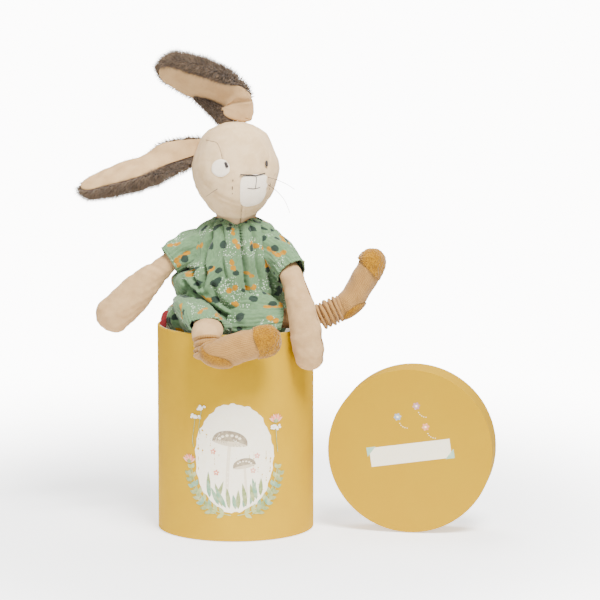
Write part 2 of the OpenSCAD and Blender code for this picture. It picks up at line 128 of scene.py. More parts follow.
# ---- Materials ----
class Graph:
    """Writes the nodes of one material."""

    def __init__(self, name: str, **sockets: object) -> None:
        """Makes a material with a Principled shader.

        Args:
            name: Name of the material.
            **sockets: Constants for the shader's own sockets, with _ for a space.
        """
        self.material = bpy.data.materials.new(name)
        self.material.use_nodes = True
        self.tree = self.material.node_tree
        self.shader = self.tree.nodes["Principled BSDF"]
        for key, value in sockets.items():
            self.shader.inputs[key.replace("_", " ")].default_value = value

    def node(self, kind: str, inputs: dict[int | str, object] | None = None,
             **settings: object) -> bpy.types.Node:
        """Adds a node; an input that is a socket is linked, any other is set."""
        made = self.tree.nodes.new(f"ShaderNode{kind}")
        for key, value in settings.items():
            setattr(made, key, value)
        for key, value in (inputs or {}).items():
            self.put(made.inputs[key], value)
        return made

    def put(self, socket: Socket, value: object) -> None:
        """Links or sets one input."""
        if isinstance(value, Socket):
            self.tree.links.new(value, socket)
        else:
            socket.default_value = value

    def math(self, operation: str, *values: object) -> Socket:
        """Result of a Math node."""
        return self.node("Math", dict(enumerate(values)), operation=operation).outputs[0]

    def mix(self, share: object, first: object, second: object) -> Socket:
        """Mix of two colours."""
        made = self.node("Mix", data_type="RGBA")
        for key, value in ((0, share), (6, first), (7, second)):
            self.put(made.inputs[key], value)
        return made.outputs[2]

    def noise(self, where: Socket, scale: float, detail: float = 3, roughness: float = 0.5) -> Socket:
        """Value of a noise texture, 0 to 1 about 0.5."""
        inputs = {"Vector": where, "Scale": scale, "Detail": detail, "Roughness": roughness}
        return self.node("TexNoise", inputs).outputs[0]

    def wave(self, where: Socket, scale: float, distortion: float, way: str, detail: float = 2) -> Socket:
        """Height of waves that follow each other along X, Y or DIAGONAL."""
        inputs = {"Vector": where, "Scale": scale, "Distortion": distortion, "Detail": detail}
        return self.node("TexWave", inputs, bands_direction=way).outputs[1]

    def stretch(self, flat: Socket, across: float, along: float) -> Socket:
        """Flat coordinates scaled by two different numbers."""
        return self.node("Mapping", {0: flat, 3: (across, along, 1)}).outputs[0]

    def mottle(self, where: Socket, scale: float, first: object, second: object) -> Socket:
        """Soft patches of the second colour over the first."""
        return self.mix(self.span(self.noise(where, scale, 3), 0.4, 0.7, 0, 0.35), first, second)

    def span(self, value: Socket, low: float, high: float, to_low: float = 0, to_high: float = 1) -> Socket:
        """Maps a range onto another, smoothly and clamped."""
        return self.node(
            "MapRange", {0: value, 1: low, 2: high, 3: to_low, 4: to_high}, interpolation_type="SMOOTHSTEP"
        ).outputs[0]

    def place(self, scale: tuple[float, float, float] = (1, 1, 1), turn: float = 0,
              source: str = "Object") -> Socket:
        """Coordinates in metres, scaled and turned about Z."""
        kind = self.node("TexCoord").outputs[source]
        return self.node("Mapping", {0: kind, 2: (0, 0, turn), 3: scale}).outputs[0]

    def bump(self, height: Socket, distance: float, strength: float = 1.0) -> None:
        """Feeds a height in 0 to 1 to the shader's normal, on top of an earlier one; distance in metres."""
        made = self.node("Bump", {"Height": height, "Distance": distance, "Strength": strength})
        before = self.shader.inputs["Normal"].links
        if before:
            self.tree.links.new(before[0].from_socket, made.inputs["Normal"])
        self.tree.links.new(made.outputs[0], self.shader.inputs["Normal"])

    def colour(self, value: object) -> bpy.types.Material:
        """Sets the base colour and gives the finished material."""
        self.put(self.shader.inputs["Base Color"], value)
        return self.material


class Finish(Enum):
    """Material slots of the record that pieces take their finish from."""

    CARD = "card"
    PRINTED = "printed_paper"
    PLAIN = "plain_paper"
    VELOUR = "velour"
    GAUZE = "gauze"
    BUTTON = "button"
    RIBBON = "ribbon"
    FELT = "cream_felt"
    THREAD = "dark_thread"
    FUR = "fur"
    KNIT = "sock_knit"
    TERRY = "terry"


@dataclass(frozen=True)
class Paper:
    """Printed or plain paper with a fine laid grain."""

    base: Colour
    shade: Colour
    turn: float = 0.0
    round_it: bool = True

    def make(self, name: str) -> bpy.types.Material:
        """Builds the material; the grain runs round the box, or across the lid."""
        g = Graph(name, Roughness=0.78, Specular_IOR_Level=0.12)
        where = g.place(turn=self.turn)
        x, y, z = g.node("SeparateXYZ", {0: where}).outputs
        if self.round_it:
            x = g.math("MULTIPLY", g.math("ARCTAN2", x, g.math("MULTIPLY", y, -1.0)), BOX_RADIUS * MM)
        flat = g.node("CombineXYZ", {0: x, 1: z}).outputs[0]
        dashes = g.noise(g.stretch(flat, 150, 2300), 1, 2, 0.6)
        cross = g.noise(g.stretch(flat, 1900, 120), 1, 2, 0.6)
        marks = g.math("MAXIMUM", g.span(dashes, 0.6, 0.76),
                       g.math("MULTIPLY", g.span(cross, 0.62, 0.8), 0.5))
        cloud = g.noise(flat, 22, 3, 0.55)
        tone = g.mix(g.math("MULTIPLY", g.span(cloud, 0.35, 0.7), 0.28), self.base, self.shade)
        tone = g.mix(g.math("MULTIPLY", marks, 0.42), tone, self.shade)
        fibre = g.noise(flat, 3200, 3, 0.6)
        g.bump(fibre, 0.00006, 0.5)
        g.bump(marks, 0.00005, 0.6)
        return g.colour(tone)


@dataclass(frozen=True)
class Card:
    """Grey-brown wound card with flecks."""

    base: Colour = srgb(188, 168, 132)
    fleck: Colour = srgb(140, 118, 86)

    def make(self, name: str) -> bpy.types.Material:
        """Builds the material."""
        g = Graph(name, Roughness=0.85)
        where = g.place()
        g.bump(g.noise(where, 900, 4), 0.0001, 0.6)
        return g.colour(g.mix(g.span(g.noise(where, 420, 4, 0.7), 0.5, 0.75), self.base, self.fleck))


@dataclass(frozen=True)
class Velour:
    """Short pile with soft mottling where the nap lies in different ways."""

    base: Colour = srgb(218, 189, 147)
    deep: Colour = srgb(194, 160, 115)
    pile: float = 0.00016

    def make(self, name: str) -> bpy.types.Material:
        """Builds the material."""
        g = Graph(name, Roughness=0.95, Specular_IOR_Level=0.08, Sheen_Weight=0.14, Sheen_Roughness=0.45)
        g.shader.inputs["Sheen Tint"].default_value = srgb(244, 230, 212)
        where = g.place()
        nap = g.noise(where, 75, 4, 0.62)
        fine = g.noise(where, 1500, 2, 0.6)
        tone = g.mix(g.span(nap, 0.36, 0.68, 0, 0.5), self.base, self.deep)
        tone = g.mix(g.span(fine, 0.45, 0.75, 0, 0.35), tone, self.deep)
        g.bump(g.noise(where, 2600, 2, 0.7), self.pile, 0.75)
        g.bump(nap, 0.0007, 0.35)
        return g.colour(tone)


@dataclass(frozen=True)
class Gauze:
    """Crinkled double gauze with a small scattered print of dots and leaves."""

    base: Colour = srgb(90, 119, 83)
    # pale: painted highlight, laid on the raised crinkles.
    pale: Colour = srgb(112, 140, 102)
    dot: Colour = srgb(40, 55, 45)
    leaf: Colour = srgb(166, 114, 14)
    speck: Colour = srgb(200, 214, 190)

    def make(self, name: str) -> bpy.types.Material:
        """Builds the material on the cloth's own flat coordinates."""
        g = Graph(name, Roughness=0.92, Specular_IOR_Level=0.15, Sheen_Weight=0.2)
        flat = g.place(source="UV")
        crinkle = g.noise(g.stretch(flat, 520, 260), 1, 3, 0.6)
        weave = g.math("MULTIPLY", g.wave(flat, 420, 0.6, "X"), g.wave(flat, 420, 0.6, "Y"))
        # The paler colour follows the crinkle's height, so the raised crinkles are lighter: a painted
        # highlight.
        tone = g.mix(g.span(crinkle, 0.35, 0.7, 0, 0.55), self.base, self.pale)
        shift = g.node("TexNoise", {"Vector": flat, "Scale": 330.0}).outputs[1]
        shift = g.node("VectorMath", {0: shift, "Scale": 0.0026}, operation="SCALE").outputs[0]
        wobble = g.node("VectorMath", {0: flat, 1: shift}, operation="ADD").outputs[0]
        spray = g.span(g.noise(flat, 42, 1), 0.52, 0.6)
        speckled = g.mix(spray, tone, self.speck)
        tone = self.scatter(g, tone, flat, 520, (0.1, 0.9), 0.0, 0.42, (0.00052, 0.00052), speckled)
        leaf_cells, blot_cells = (44, (0.73, 0.18)), (52, (0.31, 0.47))
        for way in (-1, 1):
            aside = (way * 0.0031, way * 0.0013)
            tone = self.scatter(g, tone, wobble, *leaf_cells, 0.0, 0.62, (0.0036, 0.0025), self.leaf, aside)
        for cells, low, high, half in ((leaf_cells, 0.62, 1.0, (0.0045, 0.0041)),
                                       (blot_cells, 0.0, 0.5, (0.0041, 0.0037)),
                                       (blot_cells, 0.62, 0.85, (0.0027, 0.0024))):
            tone = self.scatter(g, tone, wobble, *cells, low, high, half, self.dot)
        g.bump(crinkle, 0.0006, 0.65)
        g.bump(weave, 0.00012, 0.5)
        return g.colour(tone)

    @staticmethod
    def scatter(g: Graph, below: Socket, flat: Socket, scale: float, shift: tuple[float, float], low: float,
                high: float, half: tuple[float, float], tone: object,
                aside: tuple[float, float] = (0.0, 0.0)) -> Socket:
        """Lays turned ovals over a colour, one in each cell whose number is from low to high.

        Args:
            g: The material's graph.
            below: Colour under the print.
            flat: Flat coordinates in metres.
            scale: Cells in a metre.
            shift: Moves the pattern.
            low, high: Which cells carry the motif.
            half: Half length and half width of the motif, in metres.
            tone: Its colour.
            aside: How far it lies from the middle of its cell, before it is turned.

        Returns:
            The colour with the motifs on it.
        """
        moved = g.node("Mapping", {0: flat, 1: (*shift, 0)}).outputs[0]
        cell = g.node("TexVoronoi", {"Vector": moved, "Scale": scale, "Randomness": 0.85},
                      voronoi_dimensions="2D")
        number, angle, _ = g.node("SeparateColor", {0: cell.outputs["Color"]}).outputs
        away = g.node("VectorMath", {0: moved, 1: cell.outputs["Position"]}, operation="SUBTRACT").outputs[0]
        turned = g.node("VectorRotate", {"Vector": away, "Angle": g.math("MULTIPLY", angle, FULL_TURN)},
                        rotation_type="Z_AXIS")
        off = g.node("VectorMath", {0: turned.outputs[0], 1: (*aside, 0)}, operation="SUBTRACT").outputs[0]
        oval = g.node("VectorMath", {0: off, 1: (1 / half[0], 1 / half[1], 0)}, operation="MULTIPLY")
        far = g.node("VectorMath", {0: oval.outputs[0]}, operation="LENGTH").outputs[1]
        inside = g.span(far, 0.85, 1.12, 1, 0)
        chosen = g.math("MULTIPLY", g.math("GREATER_THAN", number, low), g.math("LESS_THAN", number, high))
        return g.mix(g.math("MULTIPLY", inside, chosen), below, tone)


@dataclass(frozen=True)
class Knit:
    """Fine ribbed knit on the piece's flat coordinates."""

    base: Colour = srgb(166, 124, 66)
    # groove: painted shade for the rib valleys; also random patches of the mottle.
    groove: Colour = srgb(138, 98, 48)
    ribs: float = 620

    def make(self, name: str) -> bpy.types.Material:
        """Builds the material; the ribs run along the sock."""
        g = Graph(name, Roughness=0.9, Specular_IOR_Level=0.15, Sheen_Weight=0.2)
        flat = g.place(source="UV")
        rib = g.wave(flat, self.ribs / FULL_TURN * 2, 0.5, "X", 1)
        loop = g.wave(flat, self.ribs / 3.0, 1.0, "Y")
        # The groove colour fills the rib valleys, where the bump is lowest: painted shade.
        tone = g.mix(g.span(rib, 0.1, 0.6, 0.75, 0), self.base, self.groove)
        tone = g.mottle(flat, 130, tone, self.groove)
        g.bump(rib, 0.0004, 0.7)
        g.bump(loop, 0.00015, 0.5)
        return g.colour(tone)


@dataclass(frozen=True)
class Nubby:
    """Looped or felted cloth: small round loops over a soft mottle."""

    base: Colour
    # deep: painted shade for the hollows between the loops; also random patches of the mottle.
    deep: Colour
    loops: float = 900
    height: float = 0.0005

    def make(self, name: str) -> bpy.types.Material:
        """Builds the material."""
        g = Graph(name, Roughness=0.95, Specular_IOR_Level=0.1, Sheen_Weight=0.3)
        where = g.place()
        cells = g.node("TexVoronoi",
                       {"Vector": where, "Scale": self.loops, "Randomness": 1.0}).outputs["Distance"]
        # The deep colour fills the hollows between the loops, where the bump is lowest: painted shade.
        tone = g.mix(g.span(cells, 0.25, 0.75, 0, 0.8), self.base, self.deep)
        tone = g.mottle(where, 160, tone, self.deep)
        g.bump(g.math("SUBTRACT", 1.0, cells), self.height, 0.7)
        return g.colour(tone)


@dataclass(frozen=True)
class Fur:
    """Brown pile; strands carry their own shade."""

    root: Colour = srgb(52, 38, 27)
    tip: Colour = srgb(140, 117, 92)

    def make(self, name: str) -> bpy.types.Material:
        """Builds the material."""
        g = Graph(name, Roughness=0.75, Specular_IOR_Level=0.25, Sheen_Weight=0.25)
        shade = g.node("Attribute", attribute_name="shade").outputs["Fac"]
        where = g.place()
        tone = g.mix(shade, self.root, self.tip)
        return g.colour(g.mottle(where, 110, tone, self.root))


@dataclass(frozen=True)
class Thread:
    """Twisted thread or woven ribbon in one colour family."""

    base: Colour
    # deep: painted shade for the hollows of the twist.
    deep: Colour
    twist: float = 1500

    def make(self, name: str) -> bpy.types.Material:
        """Builds the material."""
        g = Graph(name, Roughness=0.7, Specular_IOR_Level=0.25, Sheen_Weight=0.2)
        where = g.place()
        wave = g.wave(where, self.twist / 3, 1.5, "DIAGONAL")
        g.bump(wave, 0.00012, 0.6)
        # The deep colour lies in the hollows of the twist, where the bump is lowest: painted shade.
        return g.colour(g.mix(g.span(wave, 0.2, 0.7, 0.6, 0), self.base, self.deep))


@dataclass(frozen=True)
class Button:
    """Matt cream button with a faint mottle."""

    base: Colour = srgb(232, 222, 204)
    deep: Colour = srgb(206, 190, 164)

    def make(self, name: str) -> bpy.types.Material:
        """Builds the material."""
        g = Graph(name, Roughness=0.4)
        return g.colour(g.mix(g.span(g.noise(g.place(), 400, 4), 0.4, 0.7), self.base, self.deep))


@dataclass(frozen=True)
class Ink:
    """Printed inks whose colour each face carries."""

    def make(self, name: str) -> bpy.types.Material:
        """Builds the material; the ink lies unevenly, like a wash."""
        g = Graph(name, Roughness=0.6, Specular_IOR_Level=0.3)
        tone = g.node("Attribute", attribute_name="ink").outputs["Color"]
        where = g.place()
        wash = g.span(g.noise(where, 260, 4, 0.6), 0.3, 0.75, 0.0, 0.3)
        grain = g.span(g.noise(where, 1500, 2), 0.55, 0.8, 0, 0.25)
        return g.colour(g.mix(grain, g.mix(wash, tone, srgb(236, 222, 180)), srgb(196, 168, 90)))


class Palette:
    """Makes each material once."""

    def __init__(self) -> None:
        """Makes the record's slots and a few more finishes."""
        mustard, shade = srgb(182, 142, 0), srgb(168, 124, 0)
        self.made = {
            Finish.CARD: Card().make("card"),
            Finish.PRINTED: Paper(mustard, shade).make("printed_paper"),
            Finish.PLAIN: Paper(srgb(236, 230, 214), srgb(214, 204, 182)).make("plain_paper"),
            Finish.VELOUR: Velour().make("velour"),
            Finish.GAUZE: Gauze().make("gauze"),
            Finish.BUTTON: Button().make("button"),
            Finish.RIBBON: Thread(srgb(140, 34, 38), srgb(92, 16, 22), 4000).make("ribbon"),
            Finish.FELT: Nubby(srgb(252, 240, 220), srgb(236, 218, 192), 2200, 0.0002).make("cream_felt"),
            Finish.THREAD: Thread(srgb(62, 54, 50), srgb(28, 24, 22)).make("dark_thread"),
            Finish.FUR: Fur().make("fur"),
            Finish.KNIT: Knit().make("sock_knit"),
            Finish.TERRY: Nubby(srgb(160, 112, 0), srgb(114, 72, 0)).make("terry"),
        }
        self.lid_paper = Paper(srgb(170, 132, 0), shade, round_it=False,
                               turn=math.radians(LID_TURN)).make("lid_paper")
        self.ink = Ink().make("print_ink")
        self.whisker = Thread(srgb(112, 92, 74), srgb(84, 68, 54)).make("whisker_thread")
        # Darker copy of the velour for the ears and limbs: painted shade, for parts that lie in shade.
        self.shade_velour = Velour(srgb(190, 155, 111), srgb(164, 128, 85)).make("painted_shade_velour")
        self.seam = Thread(srgb(132, 104, 78), srgb(98, 74, 52)).make("seam_thread")

    def __getitem__(self, finish: Finish) -> bpy.types.Material:
        """Material of a slot."""
        return self.made[finish]


# ---- Forms and meshes ----
@dataclass(frozen=True)
class Form:
    """Soft form along an axis.

    Each row is a point, the half width, the half thickness and the direction of the width. s runs from 0 to 1
    along the rows, with rounded caps from -1 to 0 and from 1 to 2.
    """

    rows: tuple[tuple[float, ...], ...]
    start_cap: float = 0.0
    end_cap: float = 0.0

    def spline(self, t: np.ndarray) -> np.ndarray:
        """Smooth rows at t from 0 to 1."""
        v = np.array(self.rows, float)
        last = len(v) - 1
        u = np.clip(t * last, 0, last - 1e-6)
        i = np.floor(u).astype(int)
        f = (u - i)[..., None]
        a, b, c, d = v[np.maximum(i - 1, 0)], v[i], v[i + 1], v[np.minimum(i + 2, last)]
        return b + 0.5 * f * ((c - a) + f * ((2 * a - 5 * b + 4 * c - d) + f * (3 * (b - c) + d - a)))

    def frames(self, s: np.ndarray) -> tuple[np.ndarray, ...]:
        """Axis point, tangent, width direction, thickness direction and the half sizes at s."""
        t = np.clip(s, 0, 1)
        row = self.spline(t)
        along = unit((self.spline(np.minimum(t + 0.01, 1)) - self.spline(np.maximum(t - 0.01, 0)))[..., :3])
        side = unit(row[..., 5:] - (row[..., 5:] * along).sum(-1, keepdims=True) * along)
        return row[..., :3], along, side, np.cross(along, side), row[..., 3:4], row[..., 4:5]

    def skin(self, s: np.ndarray, a: np.ndarray, out: np.ndarray | float = 0.0) -> np.ndarray:
        """Points on the skin.

        Args:
            s: Place along the form.
            a: Angle round it in degrees, from the width direction.
            out: Distance off the skin in millimetres.

        Returns:
            Points in millimetres, in the shape that s, a and out make together.
        """
        s, a, out = np.broadcast_arrays(np.asarray(s, float), np.asarray(a, float), np.asarray(out, float))
        p, along, side, up, wide, thick = self.frames(s)
        turn = np.where(s < 0, -s, np.where(s > 1, s - 1, 0.0))[..., None] * math.pi / 2
        cap = np.where(s < 0, -(self.start_cap + out), self.end_cap + out)[..., None]
        angle, off = np.radians(a)[..., None], out[..., None]
        return (p + along * cap * np.sin(turn) + side * (wide + off) * np.cos(turn) * np.cos(angle)
                + up * (thick + off) * np.cos(turn) * np.sin(angle))

    def grid(self, s: np.ndarray, a: np.ndarray, out: np.ndarray | float = 0.0) -> np.ndarray:
        """Skin on every pair of s and a."""
        return self.skin(np.asarray(s)[:, None], np.asarray(a)[None, :], out)


def around(sides: int) -> np.ndarray:
    """Angles round a closed ring."""
    return np.arange(sides) * 360 / sides


def runs(*stops: tuple[float, float, int]) -> np.ndarray:
    """Joined even runs, each given as first, last and the number of steps."""
    return np.unique(np.concatenate([np.linspace(a, b, n + 1) for a, b, n in stops]).round(9))


def flat_of(points: np.ndarray, wrap: bool) -> np.ndarray:
    """Flat coordinates in metres of a grid: round it, then along it, with one more column if it wraps."""
    ring = np.concatenate([points, points[:, :1]], 1) if wrap else points
    across = np.linalg.norm(np.diff(ring, axis=1), axis=2).mean(0)
    length = np.linalg.norm(np.diff(points, axis=0), axis=2).mean(1)
    u = np.concatenate([[0], np.cumsum(across)])
    v = np.concatenate([[0], np.cumsum(length)])
    return np.stack(np.broadcast_arrays(u[None, :], v[:, None]), -1) * MM


def cut_size(points: np.ndarray, wrap: bool) -> tuple[float, float]:
    """Mean distance across a grid, or round it, and mean length along it, in metres."""
    across, along = flat_of(points, wrap)[-1, -1]
    return float(across), float(along)


class Sewing:
    """Makes meshes from grids of points in millimetres."""

    @staticmethod
    def piece(name: str, points: np.ndarray, material: bpy.types.Material, wrap: bool = True,
              caps: tuple[bool, bool] = (False, False), thick: float = 0.0,
              outward: bool = True) -> bpy.types.Object:
        """Makes one mesh object from a grid.

        Args:
            name: Object name.
            points: Grid of shape (rows, columns, 3) in millimetres.
            material: Its finish.
            wrap: Whether the columns close into rings.
            caps: Whether the first and the last ring are closed with a fan.
            thick: If above 0, the grid becomes a shell of that thickness, inwards.
            outward: Whether faces are turned away from the ring centres.

        Returns:
            The object, at the origin.
        """
        m, n = points.shape[:2]
        flat = flat_of(points, wrap)
        verts = list(points.reshape(-1, 3) * MM)
        faces, uvs = [], []
        for i in range(m - 1):
            for j in range(n if wrap else n - 1):
                k = (j + 1) % n
                faces.append((i * n + j, i * n + k, (i + 1) * n + k, (i + 1) * n + j))
                uvs += [flat[i, j], flat[i, j + 1], flat[i + 1, j + 1], flat[i + 1, j]]
        for end, row in ((0, 0), (1, m - 1)):
            if caps[end]:
                verts.append(points[row].mean(0) * MM)
                for j in range(n):
                    k = (j + 1) % n
                    pair = (row * n + j, row * n + k)
                    faces.append((*(pair[::-1] if end == 0 else pair), len(verts) - 1))
                    two = [flat[row, j], flat[row, j + 1]]
                    uvs += [*(two[::-1] if end == 0 else two), (flat[row, j] + flat[row, j + 1]) / 2]
        mesh = bpy.data.meshes.new(name)
        mesh.from_pydata([tuple(v) for v in verts], [], faces)
        layer = mesh.uv_layers.new(name="UVMap")
        layer.data.foreach_set("uv", np.array(uvs, np.float32).ravel())
        mesh.materials.append(material)
        mesh.polygons.foreach_set("use_smooth", [True] * len(faces))
        if outward:
            ring = points.mean(1)
            centre = np.repeat(ring, n, 0) * MM
            mesh.update()
            normal = np.array([v.normal for v in mesh.vertices])[: m * n]
            spot = points.reshape(-1, 3) * MM
            if ((spot - centre) * normal).sum() < 0:
                mesh.flip_normals()
        obj = bpy.data.objects.new(name, mesh)
        bpy.context.scene.collection.objects.link(obj)
        if thick:
            Sewing.shell(obj, thick)
        return obj

    @staticmethod
    def shell(obj: bpy.types.Object, thick: float) -> None:
        """Gives an open mesh a thickness in millimetres, inwards."""
        solid = obj.modifiers.new("shell", "SOLIDIFY")
        solid.thickness, solid.offset, solid.use_rim = thick * MM, -1.0, True
        Sewing.settle(obj)

    @staticmethod
    def settle(obj: bpy.types.Object) -> None:
        """Turns what the modifiers make into the object's own mesh."""
        seen = obj.evaluated_get(bpy.context.evaluated_depsgraph_get())
        mesh = bpy.data.meshes.new_from_object(seen)
        obj.modifiers.clear()
        obj.data = mesh

    @staticmethod
    def weld(obj: bpy.types.Object) -> None:
        """Merges points that lie on each other."""
        work = bmesh.new()
        work.from_mesh(obj.data)
        bmesh.ops.remove_doubles(work, verts=work.verts, dist=1e-6)
        work.to_mesh(obj.data)
        work.free()

    @staticmethod
    def tube(name: str, path: np.ndarray, radius: float | np.ndarray, material: bpy.types.Material,
             sides: int = 8) -> bpy.types.Object:
        """Round thread along a path in millimetres, with closed ends."""
        along = unit(np.gradient(path, axis=0))
        helper = np.where(np.abs(along[:, 2:3]) > 0.9, [[1.0, 0, 0]], [[0, 0, 1.0]])
        side = unit(np.cross(along, helper))
        up = np.cross(along, side)
        turn = np.radians(around(sides))[None, :, None]
        size = np.broadcast_to(np.asarray(radius, float), (len(path),))[:, None, None]
        points = path[:, None] + size * (side[:, None] * np.cos(turn) + up[:, None] * np.sin(turn))
        return Sewing.piece(name, points, material, caps=(True, True))

    @staticmethod
    def patch(form: "Form", name: str, s: float, a: float, half_s: float, half_a: float, power: float,
              material: bpy.types.Material, off: float = 0.45, thick: float = 0.75,
              stitches: float = 0.12) -> bpy.types.Object:
        """Sewn patch on a form: a thin crowned shell whose edge is drawn in by small stitches.

        Args:
            form: What it lies on.
            name: Object name.
            s, a: Its middle.
            half_s, half_a: Half its extent along the form and, in degrees, round it.
            power: 2 for an oval, more for a squarer shape.
            material: Its finish.
            off: How far its inside lies off the form, in millimetres.
            thick: Its thickness.
            stitches: How deep the edge is drawn in.

        Returns:
            The patch.
        """
        def lobe(v: np.ndarray) -> np.ndarray:
            """Sine or cosine swelled towards a squarer outline."""
            return np.sign(v) * np.abs(v) ** (2 / power)

        turn = np.radians(around(96))
        share = np.concatenate([np.linspace(0.05, 0.86, 12), [0.9, 0.94, 0.97, 0.99, 1.0, 0.995]])[:, None]
        last = (np.arange(len(share)) == len(share) - 1)[:, None]
        height = 1 - 0.55 * ease(share, 0.82, 1.0) - 0.4 * last
        height = height + stitches * np.sin(turn * 32) * ease(share, 0.86, 0.96)
        along = s + half_s * share * lobe(np.sin(turn))[None]
        points = form.skin(along, a + half_a * share * lobe(np.cos(turn))[None], off + height * thick)
        return Sewing.piece(name, points, material, caps=(True, False))

    @staticmethod
    def join(name: str, parts: Sequence[bpy.types.Object]) -> bpy.types.Object:
        """Joins objects into one mesh object."""
        with bpy.context.temp_override(active_object=parts[0], selected_editable_objects=list(parts),
                                       object=parts[0]):
            bpy.ops.object.join()
        parts[0].name = parts[0].data.name = name
        return parts[0]


def smooth_path(points: Sequence[Sequence[float]], steps: int) -> np.ndarray:
    """Smooth curve of a number of points through a few given ones."""
    given = np.array(points, float)
    rows = tuple(tuple([*p, 0.0, 0.0, 0.0, 0.0, 0.0][:8]) for p in given)
    return Form(rows).spline(np.linspace(0, 1, steps))[:, : given.shape[1]]


def finish_piece(obj: bpy.types.Object, body: str,
                 nodes: Sequence[str] = ()) -> bpy.types.Object:
    """Says what a piece rides on and hides the CAD solids that it stands for.

    Args:
        obj: The finished piece.
        body: The body that it rides on; empty for a piece that rides on no body.
        nodes: CAD nodes that it replaces.

    Returns:
        The same piece.
    """
    if body:
        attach(obj, body)
    if nodes:
        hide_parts(*nodes)
    log.info("%s on %s", obj.name, body or "two bodies")
    return obj


# ---- Card box and lid ----
CREAM, MOSS, LEAF, FERN = srgb(244, 236, 216), srgb(116, 132, 74), srgb(150, 160, 96), srgb(96, 142, 112)
CORAL, ROSE, UMBEL, TAUPE = srgb(214, 106, 82), srgb(222, 150, 132), srgb(240, 234, 220), srgb(128, 112, 92)


def polar(middle: Sequence[float], half: tuple[float, float], degrees: float) -> tuple[float, float]:
    """Flat point on an oval."""
    a = math.radians(degrees)
    return middle[0] + half[0] * math.cos(a), middle[1] + half[1] * math.sin(a)


def swing(u: np.ndarray | float, v: np.ndarray | float, root: Sequence[float], degrees: float) -> np.ndarray:
    """Flat points turned by an angle and then moved to a root."""
    a = math.radians(degrees)
    return np.stack([root[0] + u * math.cos(a) - v * math.sin(a),
                     root[1] + u * math.sin(a) + v * math.cos(a)], -1)


@dataclass(frozen=True)
class Box:
    """The round card box; its solids keep their shape and get their paper here."""

    radius: float = BOX_RADIUS
    print_z: float = 80.0
    print_half: tuple[float, float] = (38.5, 52.0)

    def build(self, palette: Palette) -> None:
        """Dresses the box's solids and lays the printed sprigs on its front."""
        for node, finish in (("box_tube", Finish.CARD), ("box_wrap", Finish.PRINTED),
                             ("box_lining", Finish.PLAIN), ("box_base", Finish.CARD)):
            paint_node(node, palette[finish])
        art = Artwork(lambda u, v, up: self.curve(u, v + self.print_z, up))
        self.draw(art)
        finish_piece(art.build("box_print", palette.ink), "box")

    def curve(self, u: np.ndarray, z: np.ndarray, up: float) -> np.ndarray:
        """Wraps flat millimetres round the front of the box."""
        angle = u / self.radius
        r = self.radius + up
        return np.stack([r * np.sin(angle), -r * np.cos(angle), z], -1)

    def draw(self, art: "Artwork") -> None:
        """A cream oval in a wreath of wild plants, with two toadstools in it."""
        art.oval((0, 0), self.print_half, 0, CREAM, rough=0.012)
        rng = np.random.default_rng(4)
        self.meadow(art, rng)
        self.wreath(art, rng)

    def meadow(self, art: "Artwork", rng: np.random.Generator) -> None:
        """Toadstools, grass and four small flowers inside the oval."""
        half_u, half_v = self.print_half
        for x, foot, tall, cap, tilt in ((-7, -36, 50, 17, 8), (12, -38, 30, 11, -10)):
            top = (x + math.sin(math.radians(tilt)) * tall * 0.4, foot + tall)
            stalk = [(x, foot), (x + tilt * 0.12, foot + tall * 0.5), top]
            art.stem(stalk, 3.2 if cap > 12 else 2.3, srgb(222, 208, 184))
            art.cap(top, cap, cap * 0.72, -tilt, TAUPE)
            art.cap((top[0], top[1] - 0.4), cap * 0.97, cap * 0.16, -tilt, srgb(196, 180, 154))
            for spot in range(6):
                a = math.radians(25 + 26 * spot)
                place = (top[0] + cap * 0.62 * math.cos(a), top[1] + cap * (0.16 + 0.3 * math.sin(a)))
                art.oval(place, (cap * 0.09, cap * 0.07), 0, srgb(226, 214, 190))
        for k in range(15):
            x = -26 + 52 * k / 14 + rng.uniform(-1.5, 1.5)
            foot = -half_v * math.sqrt(max(1 - (x / half_u) ** 2, 0.03)) + 3
            art.leaf((x, foot), rng.uniform(60, 120), rng.uniform(13, 24), 2.1, FERN if k % 2 else MOSS)
        for x, y in ((-20, 6), (22, 2), (18, -12), (-17, -14)):
            art.flower((x, y), 2.6, 5, CORAL if x < 0 else ROSE, UMBEL)

    def wreath(self, art: "Artwork", rng: np.random.Generator) -> None:
        """Leafy stems, umbels and two fans of petals round the oval."""
        half_u, half_v = self.print_half
        for side in (-1, 1):
            for start, reach, bow, tint in ((-86, 74, 5.0, LEAF), (-70, 52, 9.5, MOSS)):
                half = ((half_u + bow) * side, half_v + bow * 0.6)
                path = [polar((0, 0), half, a) for a in np.linspace(start, start + reach, 9)]
                art.stem(path, 0.9, tint)
                for i in range(1, 9):
                    way = math.degrees(math.atan2(path[i][1] - path[i - 1][1], path[i][0] - path[i - 1][0]))
                    for turn in (-42, 42):
                        art.leaf(path[i], way + turn, 8.5 - 0.35 * i, 1.9, tint if i % 3 else FERN)
        for x, y, tall in ((-40, 17, 21), (-33, 30, 17), (43, 12, 16)):
            crown = (x - 2 * np.sign(x), y + tall)
            art.stem([(x, y - 8), (x - 1, y), crown], 0.8, MOSS)
            for _ in range(16):
                a, r = rng.uniform(0, 360), rng.uniform(0.5, 5.4)
                art.oval(polar(crown, (r, 0.5 * r), a), (1.25, 1.1), 0, UMBEL)
        for x, y in ((41, 33), (-45, -6)):
            for k in range(7):
                art.leaf((x, y), 30 + 20 * k, 8.5, 1.5, CORAL if k % 2 else ROSE)
            art.leaf((x, y - 1), 90, 4.5, 2.4, MOSS)


